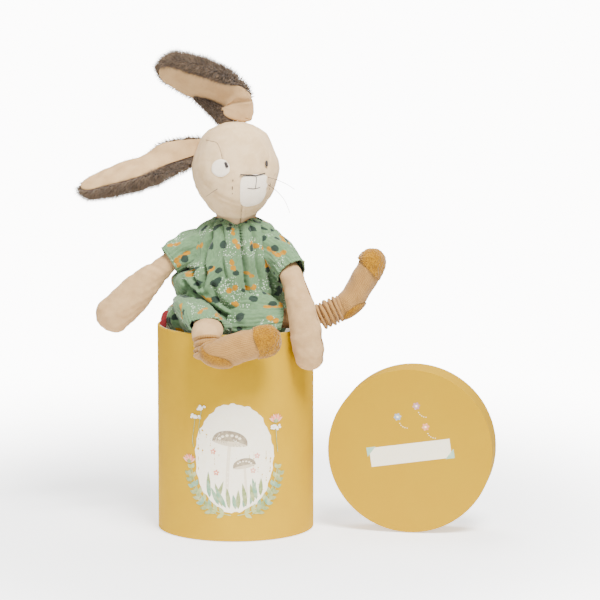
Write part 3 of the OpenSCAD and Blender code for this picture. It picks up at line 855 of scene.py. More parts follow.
@dataclass(frozen=True)
class Lid:
    """The lid that stands on its rim beside the box."""

    turn: float = LID_TURN
    radius: float = 79.0
    half_depth: float = 19.0

    def build(self, palette: Palette) -> None:
        """Dresses the lid's solids and prints its face."""
        for node, made in (("lid_band", palette[Finish.CARD]), ("lid_disc", palette[Finish.CARD]),
                           ("lid_wrap", palette.lid_paper), ("lid_lining", palette[Finish.PLAIN])):
            paint_node(node, made)
        low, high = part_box("lid_wrap")
        turn = math.radians(self.turn)
        ahead = np.array([-math.sin(turn), -math.cos(turn), 0])
        across = np.array([math.cos(turn), -math.sin(turn), 0])
        above = np.array([0, 0, 1.0])
        x, y = ((low[i] + high[i]) / 2 / MM for i in (0, 1))
        middle = np.array([x, y, self.radius]) + ahead * self.half_depth

        def lay(u: np.ndarray, v: np.ndarray, up: float) -> np.ndarray:
            """Points of the lid's face."""
            return middle + across * np.asarray(u)[..., None] + above * np.asarray(v)[..., None] + ahead * up

        art = Artwork(lay)
        self.draw(art)
        finish_piece(art.build("lid_print", palette.ink), "lid")

    def draw(self, art: "Artwork") -> None:
        """A bare cream strip with green corners, and three small flowers with dotted trails."""
        cream, green, dot = srgb(236, 228, 204), srgb(126, 172, 150), srgb(244, 236, 214)
        half_w, half_h = 39.0, 9.2

        def at(u: float, v: float) -> np.ndarray:
            """Point of the slanted strip."""
            return swing(u, v, (0.6, -1.5), 8.5)

        art.shape([at(-half_w, -half_h), at(half_w, -half_h), at(half_w, half_h), at(-half_w, half_h)], cream)
        for side in (-1, 1):
            edge, end = side * (half_w + 2.5), -side * (half_h + 0.8)
            art.shape([at(edge, -side), at(edge, end), at(side * (half_w - 6.5), end)], green)
        for x, y, tone in ((-12, 33, srgb(120, 140, 168)), (6, 44, srgb(164, 112, 128)),
                           (15, 24, srgb(206, 122, 84))):
            art.flower((x, y), 3.4, 6, tone, srgb(244, 232, 196))
            for k in range(5):
                art.oval(polar((x + 9, y - 3), (7.5, 7.5), 205 + 17 * k), (0.45, 0.45), 0, dot)


class Artwork:
    """Flat printed shapes laid on a surface, each a little above the one before."""

    STEP = 0.004

    def __init__(self, lay: object) -> None:
        """Keeps the surface.

        Args:
            lay: Function of flat coordinates in millimetres and a height off the surface that gives points.
        """
        self.lay = lay
        self.verts: list[np.ndarray] = []
        self.faces: list[tuple[int, ...]] = []
        self.tones: list[Colour] = []
        self.up = 0.04

    def fan(self, outline: np.ndarray, tone: Colour) -> None:
        """Adds a star-shaped region as rings round its middle."""
        self.up += self.STEP
        middle = outline.mean(0)
        n, rings = len(outline), 7 if np.ptp(outline, axis=0).max() > 12 else 1
        base = sum(len(v) for v in self.verts)
        flat = np.concatenate([middle[None]]
                              + [middle + (outline - middle) * (k + 1) / rings for k in range(rings)])
        self.verts.append(self.lay(flat[:, 0], flat[:, 1], self.up))
        for j in range(n):
            k = (j + 1) % n
            self.faces.append((base, base + 1 + j, base + 1 + k))
            for r in range(rings - 1):
                a = base + 1 + r * n
                self.faces.append((a + j, a + n + j, a + n + k, a + k))
        self.tones += [tone] * (n * rings)

    def shape(self, points: Sequence[Sequence[float]], tone: Colour) -> None:
        """Region with straight sides."""
        given = np.array(points, float)
        ends = zip(given, np.roll(given, -1, axis=0))
        self.fan(np.concatenate([np.linspace(first, second, 9)[:-1] for first, second in ends]), tone)

    def oval(self, middle: tuple[float, float], half: tuple[float, float], turn: float, tone: Colour,
             rough: float = 0.0) -> None:
        """Oval, with an uneven edge if rough is above 0."""
        count = 96 if half[0] > 10 else 14
        a = np.linspace(0, 2 * math.pi, count, endpoint=False)
        share = 1 + rough * (np.sin(7 * a + 1) + np.sin(17 * a) + np.sin(31 * a + 2))
        self.fan(swing(half[0] * np.cos(a) * share, half[1] * np.sin(a) * share, middle, turn), tone)

    def leaf(self, root: tuple[float, float], way: float, length: float, half: float, tone: Colour) -> None:
        """Pointed leaf from its root."""
        t = np.linspace(0, 1, 9)
        wide = half * np.sin(math.pi * t ** 0.8) ** 0.9
        u = np.concatenate([t, t[-2:0:-1]]) * length
        self.fan(swing(u, np.concatenate([wide, -wide[-2:0:-1]]), root, way), tone)

    def cap(self, root: tuple[float, float], half: float, tall: float, turn: float, tone: Colour) -> None:
        """Toadstool cap: a half oval on a shallow curve."""
        a = np.linspace(0, math.pi, 22)
        u = np.concatenate([half * np.cos(a), np.linspace(-half, half, 12)[1:-1]])
        v = np.concatenate([tall * np.sin(a) ** 0.8, -half * 0.14 * np.cos(np.linspace(-1.5, 1.5, 12)[1:-1])])
        self.fan(swing(u, v, root, turn), tone)

    def stem(self, points: Sequence[tuple[float, float]], wide: float, tone: Colour) -> None:
        """Stem of even width through points."""
        path = smooth_path(points, 4 * len(points))
        side = unit(np.gradient(path, axis=0))[:, ::-1] * [-1, 1] * wide / 2
        left, right = path - side, path + side
        for i in range(len(path) - 1):
            self.fan(np.array([left[i], left[i + 1], right[i + 1], right[i]]), tone)
            self.up -= self.STEP * (i > 0)

    def flower(self, middle: tuple[float, float], size: float, petals: int, tone: Colour,
               heart: Colour) -> None:
        """Small round flower."""
        for k in range(petals):
            a = 360 * k / petals + 12
            self.oval(polar(middle, (size * 0.62, size * 0.62), a), (size * 0.5, size * 0.34), a, tone)
        self.oval(middle, (size * 0.3, size * 0.3), 0, heart)

    def build(self, name: str, material: bpy.types.Material) -> bpy.types.Object:
        """Makes the print's mesh."""
        mesh = bpy.data.meshes.new(name)
        mesh.from_pydata([tuple(v) for v in np.concatenate(self.verts) * MM], [], self.faces)
        ink = mesh.color_attributes.new("ink", "FLOAT_COLOR", "CORNER")
        loops = [self.tones[p.index] for p in mesh.polygons for _ in p.loop_indices]
        ink.data.foreach_set("color", np.array(loops, np.float32).ravel())
        mesh.materials.append(material)
        obj = bpy.data.objects.new(name, mesh)
        bpy.context.scene.collection.objects.link(obj)
        return obj


def paint_node(node: str, material: bpy.types.Material) -> None:
    """Gives a CAD node's object a material of its own."""
    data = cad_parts[node].data
    data.materials.clear()
    data.materials.append(material)


# ---- Doll ----
NECK_Z = 291.0
ON_X = (1.0, 0.0, 0.0)


@dataclass(frozen=True)
class Head:
    """Stuffed velour head with felt patches, embroidery, seams and whiskers."""

    half: float = 42.0
    face: float = 84.3
    crown: float = 16.4
    turn: float = 17.0

    def form(self) -> Form:
        """The head's form."""
        h, f, z = self.half, self.face, NECK_Z
        return Form((
            (1, 0, z, 17.5, 17.5, *ON_X), (1, 0, z + f / 6, h * 0.48, h * 0.5, *ON_X),
            (1, -5, z + f / 3, h * 0.74, h * 0.79, *ON_X), (0.9, -8.5, z + f / 2, h * 0.93, h * 0.95, *ON_X),
            (0.8, -8.5, z + f * 2 / 3, h, h * 0.96, *ON_X),
            (0.6, -8, z + f * 5 / 6, h * 0.915, h * 0.89, *ON_X),
            (0.4, -7.5, z + f, h * 0.775, h * 0.77, *ON_X)), 0, self.crown)

    def seams(self) -> list[np.ndarray]:
        """Seam lines as places along and round the form."""
        front = -90 + self.turn
        return [
            smooth_path([(0.42, front - 6), (0.33, front - 6), (0.2, front - 4), (0.04, front - 1)], 40),
            smooth_path([(0.53, front - 62), (0.475, front - 40), (0.445, front - 22), (0.415, front - 5)],
                        40),
            smooth_path([(0.415, front - 5), (0.43, front + 14), (0.5, front + 34), (0.6, front + 48)], 40),
            smooth_path([(1.03, front - 76), (0.99, front - 60), (0.97, front - 48), (0.9, front - 39),
                         (0.8, front - 34.5), (0.74, front - 34)], 50),
            smooth_path([(1.16, front + 84), (1.02, front + 66), (0.97, front + 52), (0.88, front + 42),
                         (0.78, front + 38)], 50),
            smooth_path([(1.9, front + 90), (1.5, 90), (1.0, 90), (0.6, 90), (0.3, 90), (0.05, 90)], 90),
        ]

    def build(self, palette: Palette) -> None:
        """Makes the head and all that is on it."""
        form = self.form()
        s, a = runs((0.015, 1, 92), (1, 1.985, 34)), around(228)
        base = form.grid(s, a)
        out = 0.45 * ripple(base, 26, 5) + 0.18 * ripple(base, 9, 6)
        over = np.sin(np.maximum(s - 1, 0) * math.pi / 2)[:, None]
        out -= 8.6 * over * (1 - over) ** 1.2
        for line in self.seams():
            away = self.distance(base, form.skin(line[:, 0], line[:, 1]))
            out += -0.85 * np.exp(-((away / 0.9) ** 2)) + 0.32 * np.exp(-(((away - 2.4) / 1.5) ** 2))
        for eye in (-101.5, -44.0):
            away = np.linalg.norm(base - form.skin(0.735, eye), axis=-1)
            out -= 0.9 * np.exp(-((away / 6.0) ** 2))
        points = form.grid(s, a, out)
        soft = 0.5 * bell(s, 1.0, 0.12)[1:-1, None, None]
        for _ in range(40):
            points[1:-1] += soft * ((points[:-2] + points[2:]) / 2 - points[1:-1])
        head = Sewing.piece("head_velour", points, palette[Finish.VELOUR], caps=(True, True))
        finish_piece(head, "head", ("head",))
        self.patches(form, palette)
        self.stitches(form, palette)
        lines, spots = [], points.reshape(-1, 3)
        for places in (self.seams()[i] for i in (0, 3, 5)):
            line = form.skin(places[:, 0], places[:, 1])
            path = np.array([spots[((spots - p) ** 2).sum(-1).argmin()] for p in line])
            for _ in range(6):
                path[1:-1] += ((path[:-2] + path[2:]) / 2 - path[1:-1]) / 2
            lines.append(Sewing.tube("seam", path, 0.3, palette.seam, 5))
        finish_piece(Sewing.join("head_seams", lines), "head")

    @staticmethod
    def distance(grid: np.ndarray, line: np.ndarray) -> np.ndarray:
        """Distance of grid points to a dense line, by its nearest point."""
        best = np.full(grid.shape[:-1], 1e9)
        for p in line:
            best = np.minimum(best, ((grid - p) ** 2).sum(-1))
        return np.sqrt(best)

    def patches(self, form: Form, palette: Palette) -> None:
        """Muzzle and cheek."""
        front = -90 + self.turn
        for name, node, shape in (("muzzle_felt", "muzzle_patch", (0.507, front + 10.5, 0.118, 20.5, 3.4)),
                                  ("cheek_felt", "cheek_patch", (0.7, front - 35.6, 0.098, 12.4, 2.0))):
            finish_piece(Sewing.patch(form, name, *shape, palette[Finish.FELT]), "head", (node,))

    def stitches(self, form: Form, palette: Palette) -> None:
        """Eyes, nose line, mouth, whisker dots and whiskers."""
        def over(points: Sequence[tuple[float, float]], off: float, steps: int) -> np.ndarray:
            """Path through places on the form, some way off it."""
            line = smooth_path(points, steps)
            return form.skin(line[:, 0], line[:, 1], off)

        dark = palette[Finish.THREAD]
        eyes = []
        for a, tilt, off in ((-100.6, 1.1, 1.2), (-44.0, -0.5, 0.5)):
            for k in range(-2, 3):
                shift, reach = a + k * 0.66, 0.03 * math.sqrt(1 - (k / 2.9) ** 2)
                line = [(0.738 + reach, shift - tilt), (0.738, shift), (0.738 - reach, shift + tilt)]
                eyes.append(Sewing.tube("eye", over(line, off + 0.35 - 0.1 * abs(k), 8), 0.58, dark))
        finish_piece(Sewing.join("eye_stitches", eyes), "head", ("eyes",))
        mouth = []
        for name, off, steps, radius, line in (
            ("nose", 1.4, 26, 0.55, [(0.628, -83), (0.622, -76), (0.62, -69), (0.612, -63), (0.622, -56),
                                     (0.634, -49)]),
            ("nose", 1.45, 20, 0.42, [(0.62, -80), (0.614, -74), (0.612, -68), (0.606, -63.5)]),
            ("lip", 1.25, 16, 0.36, [(0.608, -62.8), (0.585, -61.6), (0.56, -61.4), (0.52, -62)]),
            ("mouth", 1.25, 16, 0.36, [(0.524, -73), (0.519, -67), (0.518, -61.5), (0.522, -55)]),
        ):
            mouth.append(Sewing.tube(name, over(line, off, steps), radius, dark))
        finish_piece(Sewing.join("nose_and_mouth", mouth), "head", ("nose_stitching",))
        dots, middle = [], -64.0
        for side, s, a, reach in (
            (-1, 0.574, 28.2, 0.007), (-1, 0.526, 29.2, 0.009), (-1, 0.496, 29.2, 0.003),
            (1, 0.526, 29.2, 0.009), (1, 0.496, 29.2, 0.003),
        ):
            line = [(s + reach, middle + side * a), (s - reach, middle + side * (a + 0.3))]
            dots.append(Sewing.tube("dot", over(line, 0.3, 5), 0.34, dark))
        finish_piece(Sewing.join("whisker_dots", dots), "head")
        hairs = []
        for points in (
            [(30.0, -36.5, 342.3), (39.5, -38, 339.6), (49, -37, 335.4), (57, -35, 330)],
            [(32, -35.5, 334.6), (40, -38, 328.8), (47.5, -38, 320), (52.5, -37, 308)],
            [(-15.5, -44.5, 331.5), (-19, -46, 329.5), (-22.5, -46, 327), (-26, -45, 324.5)],
        ):
            path = smooth_path(points, 24)
            hairs.append(Sewing.tube("whisker", path, np.linspace(0.38, 0.2, 24), palette.whisker, 6))
        finish_piece(Sewing.join("whiskers", hairs), "head")


@dataclass(frozen=True)
class Ear:
    """Folded ear: a velour pad sewn to a backing of long fur."""

    side: str
    root: tuple[float, float, float]
    rows: tuple[tuple[float, ...], ...]
    end_cap: float
    fold: float
    seed: int
    upper: float = 0.0
    lower: float = 0.0
    skirt: float = 0.0
    crest: float = 0.0
    gusset: tuple[tuple[float, ...], ...] = ()
    velour: float = 4.0
    fur: float = 20.0
    air: float = 0.5

    def placed(self, rows: tuple[tuple[float, ...], ...], start_cap: float, end_cap: float) -> Form:
        """Form of rows whose points count from the ear's root."""
        return Form(tuple((*(np.array(row[:3]) + self.root), *row[3:]) for row in rows), start_cap, end_cap)

    def form(self) -> Form:
        """The ear's flat form; a row's thickness is a share of the layers' own."""
        return self.placed(self.rows, 4.5, self.end_cap)

    def reach(self, s: np.ndarray, columns: int, way: int) -> np.ndarray:
        """How far a layer's rings reach across, in half widths: the pad leaves the backing bare in places."""
        t, a = s[:, None], np.radians(around(columns))[None, :]
        right, left = np.maximum(np.cos(a), 0), np.minimum(np.cos(a), 0)
        end = np.cos(np.where(t < 0, -t, np.where(t > 1, t - 1, 0)) * math.pi / 2)
        out = (right + left) * end + left * self.skirt * bell(t, 0.22, 0.15)
        if way < 0:
            low_end = 1 - ease(t, 0.1, 0.6)
            return out - self.upper * ease(t, 0.3, 0.55) * right ** 3 - self.lower * low_end * left ** 3
        root_end = 1 - ease(t, 0.2, 0.5)
        return out + right * end * (self.crest * ease(t, 0.4, 0.62) - 1.5 * self.crest * root_end)

    def layer(self, s: np.ndarray, columns: int, way: int, thick: float, rough: float) -> np.ndarray:
        """Rings of one layer: one half bulges to its side of the middle plane, the other lies flat on it."""
        form = self.form()
        p, along, across, up, wide, share = (v[:, None] for v in form.frames(s))
        turn = (np.where(s < 0, -s, np.where(s > 1, s - 1, 0)) * math.pi / 2)[:, None, None]
        cap = np.where(s < 0, -form.start_cap, form.end_cap)[:, None, None]
        a = np.radians(around(columns))[None, :, None]
        swell = np.maximum(np.sin(a), 0) ** 0.7 - 0.08 * np.maximum(-np.sin(a), 0)
        pucker = 1 + 0.012 * np.sin(70 * s + self.seed)[:, None, None] * np.abs(np.cos(a)) ** 6
        reach = self.reach(s, columns, way)[..., None]
        if way > 0:
            thick = thick * (1 + self.crest * ease(s, 0.4, 0.62)[:, None, None])
        flat = p + along * cap * np.sin(turn) + across * wide * reach * pucker
        body = thick * share * (0.14 + 0.86 * np.cos(turn)) * swell
        slant = s[:, None] + 0.05 * np.cos(a[..., 0])
        crease = 1 - 0.65 * bell(slant, self.fold, 0.022) + 0.5 * bell(slant, self.fold + 0.07, 0.05)
        body = body * crease[..., None] * (1 + rough * ripple(flat, 17, self.seed)[..., None])
        return flat + up * way * (self.air / 2 + body)

    def build(self, palette: Palette) -> None:
        """Makes both layers and the pile."""
        body = f"ear_{self.side}"
        s = runs((CAP_START, 0, 8), (0, 1, 90), (1, 1.95, 22))
        rings = self.layer(s, 96, -1, self.velour, 0.14)
        # The pad takes the darker copy of the velour, which is painted shade.
        pad = Sewing.piece(f"ear_pad_{self.side}", rings, palette.shade_velour, caps=(True, True))
        finish_piece(pad, body, (f"ear_velour_{self.side}",))
        s = runs((CAP_START, 0, 5), (0, 1, 46), (1, 1.95, 12))
        skin = self.layer(s, 56, 1, self.fur * 0.68, 0.1)
        base = Sewing.piece(f"ear_pile_{self.side}", skin, palette[Finish.FUR], caps=(True, True))
        a = around(56)
        backing, pad_reach = self.reach(s, 56, 1), self.reach(s, 96, -1)
        bare = (backing > pad_reach.max(1)[:, None] + 0.03) | (backing < pad_reach.min(1)[:, None] - 0.03)
        hair = np.where(a <= 180, 0.62 + 0.38 * np.abs(np.sin(np.radians(a))) ** 0.5, 0.75 * bare)
        Pile().grow(base, skin, hair, palette[Finish.FUR], EAR_PILE, self.seed)
        if self.gusset:
            flap = self.placed(self.gusset, 4, 3)
            rings = flap.grid(runs((CAP_START, 0, 5), (0, 1, 22), (1, 1.93, 5)), around(40))
            side = Sewing.piece("gusset", rings, palette[Finish.FUR], caps=(True, True))
            hair = np.full(rings.shape[:2], 0.8)
            Pile().grow(side, rings, hair, palette[Finish.FUR], GUSSET_PILE, self.seed + 1)
            base = Sewing.join(f"ear_pile_{self.side}", [base, side])
        finish_piece(base, body, (f"ear_fur_{self.side}",))


class Pile:
    """Grows strands of fur on a mesh with geometry nodes."""

    def __init__(self) -> None:
        """Makes an empty tree with its inputs and its output."""
        self.tree = bpy.data.node_groups.new("pile", "GeometryNodeTree")
        face = self.tree.interface
        face.new_socket("Geometry", in_out="INPUT", socket_type="NodeSocketGeometry")
        for name, kind, value in (("Density", "Float", 1e6), ("Length", "Float", 0.008), ("Seed", "Int", 1)):
            face.new_socket(name, in_out="INPUT", socket_type=f"NodeSocket{kind}").default_value = value
        face.new_socket("Material", in_out="INPUT", socket_type="NodeSocketMaterial")
        face.new_socket("Geometry", in_out="OUTPUT", socket_type="NodeSocketGeometry")

    def node(self, kind: str, inputs: dict[int | str, object] | None = None,
             **settings: object) -> bpy.types.Node:
        """Adds a node with its settings and inputs."""
        made = self.tree.nodes.new(kind)
        for key, value in settings.items():
            setattr(made, key, value)
        for key, value in (inputs or {}).items():
            if isinstance(value, Socket):
                self.tree.links.new(value, made.inputs[key])
            else:
                made.inputs[key].default_value = value
        return made

    def named(self, name: str, kind: str = "FLOAT") -> Socket:
        """Value of a named attribute."""
        return self.node("GeometryNodeInputNamedAttribute", {"Name": name},
                         data_type=kind).outputs["Attribute"]

    def store(self, geometry: Socket, name: str, value: Socket, domain: str = "POINT") -> Socket:
        """Stores a number as a named attribute."""
        return self.node("GeometryNodeStoreNamedAttribute",
                         {"Geometry": geometry, "Name": name, "Value": value},
                         data_type="FLOAT", domain=domain).outputs[0]

    def sum(self, operation: str, first: object, second: object) -> Socket:
        """Result of a Math node."""
        return self.node("ShaderNodeMath", {0: first, 1: second}, operation=operation).outputs[0]

    def chance(self, seed: Socket, shift: int, kind: str, low: object, high: object) -> Socket:
        """Random value between two ends, from a shifted seed."""
        made = self.node("FunctionNodeRandomValue", data_type=kind)
        ends = [i for i in made.inputs if i.enabled]
        ends[0].default_value, ends[1].default_value = low, high
        self.tree.links.new(self.sum("ADD", seed, shift), made.inputs["Seed"])
        return next(o for o in made.outputs if o.enabled)

    def strand(self) -> Socket:
        """One bent cone, 1 m long and scaled later, that knows how near its tip each point is."""
        cone = self.node("GeometryNodeMeshCone", {
            "Vertices": 3, "Side Segments": 3, "Depth": 1.0, "Radius Top": 0.0,
            "Radius Bottom": STRAND_RADIUS})
        place = self.node("GeometryNodeInputPosition").outputs[0]
        rise = self.node("ShaderNodeSeparateXYZ", {0: place}).outputs[2]
        made = self.store(cone.outputs[0], "tip", rise)
        bow = self.sum("MULTIPLY", self.sum("MULTIPLY", rise, rise), 0.0022)
        bend = self.node("ShaderNodeCombineXYZ", {0: bow}).outputs[0]
        return self.node("GeometryNodeSetPosition", {"Geometry": made, "Offset": bend}).outputs[0]

    def wire(self) -> None:
        """Writes the tree: points on the skin, a bent cone on each, and the skin itself under them."""
        given = self.node("NodeGroupInput").outputs
        seed = given["Seed"]
        furry = self.node("FunctionNodeCompare", {0: self.named("hair"), 1: 0.5}, data_type="FLOAT",
                          operation="GREATER_THAN").outputs[0]
        spread = self.node("GeometryNodeDistributePointsOnFaces", {
            "Mesh": given["Geometry"], "Selection": furry, "Density": given["Density"],
            "Seed": seed}).outputs[0]
        strand = self.strand()
        stray = self.chance(seed, 7, "FLOAT_VECTOR", (-0.34,) * 3, (0.34,) * 3)
        lean = self.node("ShaderNodeVectorMath", {0: self.named("comb", "FLOAT_VECTOR"), 1: stray},
                         operation="ADD")
        turn = self.node("FunctionNodeAlignRotationToVector", {"Vector": lean.outputs[0]},
                         axis="Z").outputs[0]
        angle = self.node("FunctionNodeAxisAngleToRotation",
                          {"Angle": self.chance(seed, 9, "FLOAT", 0.0, FULL_TURN)})
        spin = self.node("FunctionNodeRotateRotation", {0: turn, 1: angle.outputs[0]}, rotation_space="LOCAL")
        share = self.sum("MULTIPLY", self.chance(seed, 3, "FLOAT", 0.62, 1.12), self.named("hair"))
        size = self.node("ShaderNodeCombineXYZ",
                         {0: 1.0, 1: 1.0, 2: self.sum("MULTIPLY", given["Length"], share)})
        placed = self.node("GeometryNodeInstanceOnPoints", {
            "Points": spread, "Instance": strand, "Rotation": spin.outputs[0],
            "Scale": size.outputs[0]}).outputs[0]
        placed = self.store(placed, "fate", self.chance(seed, 5, "FLOAT", 0.0, 1.0), "INSTANCE")
        real = self.node("GeometryNodeRealizeInstances", {"Geometry": placed}).outputs[0]
        tip = self.sum("MULTIPLY", self.named("tip"), 0.35)
        fate = self.sum("MULTIPLY", self.named("fate"), 0.6)
        joined = self.node("GeometryNodeJoinGeometry")
        self.tree.links.new(self.store(real, "shade", self.sum("ADD", tip, fate)), joined.inputs[0])
        self.tree.links.new(given["Geometry"], joined.inputs[0])
        whole = self.node("GeometryNodeRealizeInstances", {"Geometry": joined.outputs[0]}).outputs[0]
        done = self.node("GeometryNodeSetMaterial", {"Geometry": whole, "Material": given["Material"]})
        self.node("NodeGroupOutput", {0: done.outputs[0]})

    def grow(self, base: bpy.types.Object, skin: np.ndarray, hair: np.ndarray, material: bpy.types.Material,
             length: float, seed: int) -> None:
        """Replaces a pad by the pad with fur on it.

        Args:
            base: The pad, made from skin with both caps closed.
            skin: Its rings of points in millimetres.
            hair: Share of the full length at each of them, 0 where it stays bare.
            material: Finish of pad and strands.
            length: Length of a long strand in metres.
            seed: Fixed seed.
        """
        self.wire()
        rows, columns = skin.shape[:2]
        along = unit(np.gradient(skin, axis=0))
        base.data.update()
        normal = np.array([v.normal for v in base.data.vertices])
        comb = normal * 0.75
        comb[: rows * columns] += along.reshape(-1, 3) * 0.6 + [0, 0, -0.22]
        hair = np.concatenate([hair.reshape(-1), [0.5, 0.8]])
        for name, kind, field, values in (("comb", "FLOAT_VECTOR", "vector", comb),
                                          ("hair", "FLOAT", "value", hair),
                                          ("shade", "FLOAT", "value", np.full(len(hair), 0.08))):
            made = base.data.attributes.new(name, kind, "POINT")
            made.data.foreach_set(field, np.asarray(values, np.float32).ravel())
        growth = base.modifiers.new("pile", "NODES")
        growth.node_group = self.tree
        values = {"Density": PILE_DENSITY, "Length": length, "Seed": seed, "Material": material}
        for item in self.tree.interface.items_tree:
            if item.name in values:
                growth[item.identifier] = values[item.name]
        Sewing.settle(base)


@dataclass(frozen=True)
class Limb:
    """Stuffed velour limb with one long seam and soft creases across it."""

    name: str
    body: str
    node: str
    form: Form
    seam: float
    creases: tuple[tuple[float, float, float], ...]
    fill: float = 0.8
    seed: int = 1
    last: float = 1.97

    def build(self, palette: Palette) -> None:
        """Makes the limb and its seam."""
        s, a = runs((CAP_START, 0, 12), (0, 1, 110), (1, self.last, 22)), around(112)
        base = self.form.grid(s, a)
        out = 0.5 * ripple(base, 24, self.seed) + 0.22 * ripple(base, 8, self.seed + 1)
        gap = (a - self.seam + 180) % 360 - 180
        out += -0.75 * bell(gap, 0, 4.5)[None] + 0.25 * bell(np.abs(gap), 11, 7)[None]
        place = s[:, None] + 0.02 * np.sin(np.radians(a) * 2 + self.seed)[None]
        for at, deep, wide in self.creases:
            out -= deep * bell(place, at, wide) - 0.4 * deep * bell(place, at + 2 * wide, wide)
        # The limb takes the darker copy of the velour, which is painted shade.
        limb = Sewing.piece(self.name, self.form.grid(s, a, out), palette.shade_velour, caps=(True, True))
        finish_piece(limb, self.body, (self.node,))
        line = s[(s > 0.1) & (s < 1.5)]
        path = self.form.skin(line, self.seam, -0.5)
        thread = Sewing.tube(f"{self.name}_seam", path, 0.22, palette.seam, 5)
        finish_piece(thread, self.body)


@dataclass(frozen=True)
class Romper:
    """Gauze body of the romper, with its neck binding, back placket and side ribbon.

    Each row of the profile is a height, the middle and the half size in X, the same in Y, and how square the
    ring is. A pleat is a path seen from the front, its depth and its width.
    """

    profile: tuple[tuple[float, ...], ...] = (
        (300.3, 0.5, 19.2, 0, 19.2, 2), (298.2, 0.5, 23, 0, 21, 2), (294.8, 0, 29.5, -0.5, 23.5, 2.1),
        (290, 0, 35, -1, 26, 2.2), (284, 0, 38.5, -1.5, 28, 2.3), (275, -1, 40, -2, 31, 2.3),
        (264, -2, 40, -2, 33, 2.2), (252, -4.5, 46, -1, 35, 2.1), (240, -7.5, 53.5, 0, 36, 2.1),
        (229, -4.5, 53.5, 1, 37, 2.1), (220, -3, 53, 1.6, 37, 2.1), (212, -6.5, 57.5, 2.4, 37, 2.1),
        (203, -8.5, 59.6, 4, 37, 2.1), (196, -8, 57, 4, 35, 2.1), (186, -6, 52, 6, 32, 2),
        (176, -3, 42, 8, 27, 2), (170, -2, 30, 8, 20, 2))
    pleats: tuple[tuple[tuple[tuple[float, float], ...], float, float], ...] = (
        (((-21, 297), (-22.5, 284), (-27.5, 272), (-28.5, 258), (-27.5, 250), (-30.5, 236)), 2.4, 2.0),
        (((5.5, 296), (7.5, 271), (9.5, 258), (10.5, 243), (15, 221), (16.5, 204)), 2.2, 1.8),
        (((27, 295), (28.5, 282), (31.5, 266), (36.5, 254), (44, 244)), 2.0, 2.0),
        (((-37.5, 252), (-39.5, 246), (-35.5, 241), (-34, 235)), 1.8, 1.7),
        (((-60, 247), (-49, 251), (-38, 253)), 2.4, 2.0),
        (((-47, 241), (-33, 226), (-19.5, 216), (3, 203.5)), 2.0, 2.2),
        (((-12, 294), (-10, 280), (-11.5, 262), (-8, 246)), 1.1, 1.8),
        (((17, 293), (19.5, 276), (21, 258), (26, 238), (27, 214)), 1.2, 2.2),
        (((-45, 236), (-52, 222), (-56, 206)), 1.4, 2.6),
        (((34, 246), (37, 232), (36, 215)), 1.5, 2.4),
        (((-20, 238), (-17, 228), (-8, 219), (6, 212)), 1.2, 2.4))

    def rows(self, t: np.ndarray) -> np.ndarray:
        """Smooth rows of the profile, t from 0 at the neck to 1 at the seat."""
        dense, last = smooth_path(self.profile, 400), 399
        return dense[np.clip((t * last).round().astype(int), 0, last)]

    def surface(self, t: np.ndarray, angle: np.ndarray, out: np.ndarray | float = 0.0) -> np.ndarray:
        """Points of the body's cloth before folds.

        Args:
            t: Place from the neck down.
            angle: Angle round the trunk in degrees.
            out: Distance off it.

        Returns:
            Points in millimetres.
        """
        t, angle, out = np.broadcast_arrays(t, angle, out)
        z, cx, wide, cy, deep, power = np.moveaxis(self.rows(t), -1, 0)
        c, s = np.cos(np.radians(angle)), np.sin(np.radians(angle))
        r = (np.abs(c) ** power + np.abs(s) ** power) ** (-1 / power)
        dip = 5.4 * bell((angle + 180) % 360 - 180, -84, 26) * bell(t, 0, 0.16)
        return np.stack([cx + (wide + out) * r * c, cy + (deep + out) * r * s, z - dip], -1)

    def folded(self, t: np.ndarray, angle: np.ndarray) -> np.ndarray:
        """Cloth with its pleats, gathers and crinkle."""
        grid = self.surface(t[:, None], angle[None])
        front = ease(-grid[..., 1], -6, 6)
        out = np.zeros(grid.shape[:2])
        for path, deep, wide in self.pleats:
            line = smooth_path(path, 60)
            away = np.sqrt(((grid[..., None, [0, 2]] - line) ** 2).sum(-1).min(-1))
            side = np.sign((grid[..., 0] - np.interp(grid[..., 2], line[::-1, 1], line[::-1, 0])))
            banks = (0.7 + 0.35 * side) * bell(away, 2.0 * wide, 1.3 * wide)
            out += front * deep * (banks - 2.9 * bell(away, 0, wide * 0.72))
        turn = np.radians(angle)[None]
        fall = np.exp(-np.maximum(297 - grid[..., 2], 0) / 11)
        out += 0.75 * np.sin(31 * turn + 2 * np.sin(3 * turn)) * fall * ease(t, 0.01, 0.05)[:, None]
        seat = bell(grid[..., 2], 196, 16)
        out += (0.9 * np.sin(17 * turn + 1.4 * np.sin(2 * turn)) + 0.5 * np.sin(29 * turn)) * seat
        back = np.stack([np.degrees(turn) * 0.75 + grid[..., 2] * 0, grid[..., 2] * 0.22], -1)
        out += 0.34 * ripple(back, 4.6, 3) + 0.5 * ripple(back * [1, 2.2], 15, 4)
        out += 0.8 * ripple(grid, 30, 8)
        # a calm, slightly raised strip under the placket
        calm = bell(angle, 90, 14)[None] * (ease(t, 0.1, 0.18) * (1 - ease(t, 0.68, 0.78)))[:, None]
        out = out * (1 - calm) + 0.9 * calm
        return self.surface(t[:, None], angle[None], out * ease(t, 0.0, 0.03)[:, None])

    def cloth(self, obj: bpy.types.Object, nodes: Sequence[str]) -> None:
        """Puts a sheet of gauze on the trunk and hides the solids that it stands for."""
        finish_piece(obj, "trunk", nodes)

    def build(self, palette: Palette) -> None:
        """Makes the body, the binding, the placket and the tag."""
        t, angle = np.linspace(0, 1, 150), around(300)
        points = self.folded(t, angle)
        size = cut_size(self.surface(t[:, None], angle[None]), True)
        body = Sewing.piece("romper_body", points, palette[Finish.GAUZE], thick=GAUZE_THICK)
        self.cloth(body, ("romper_bodice",))
        self.binding(palette)
        self.placket(palette)
        self.tag(palette)

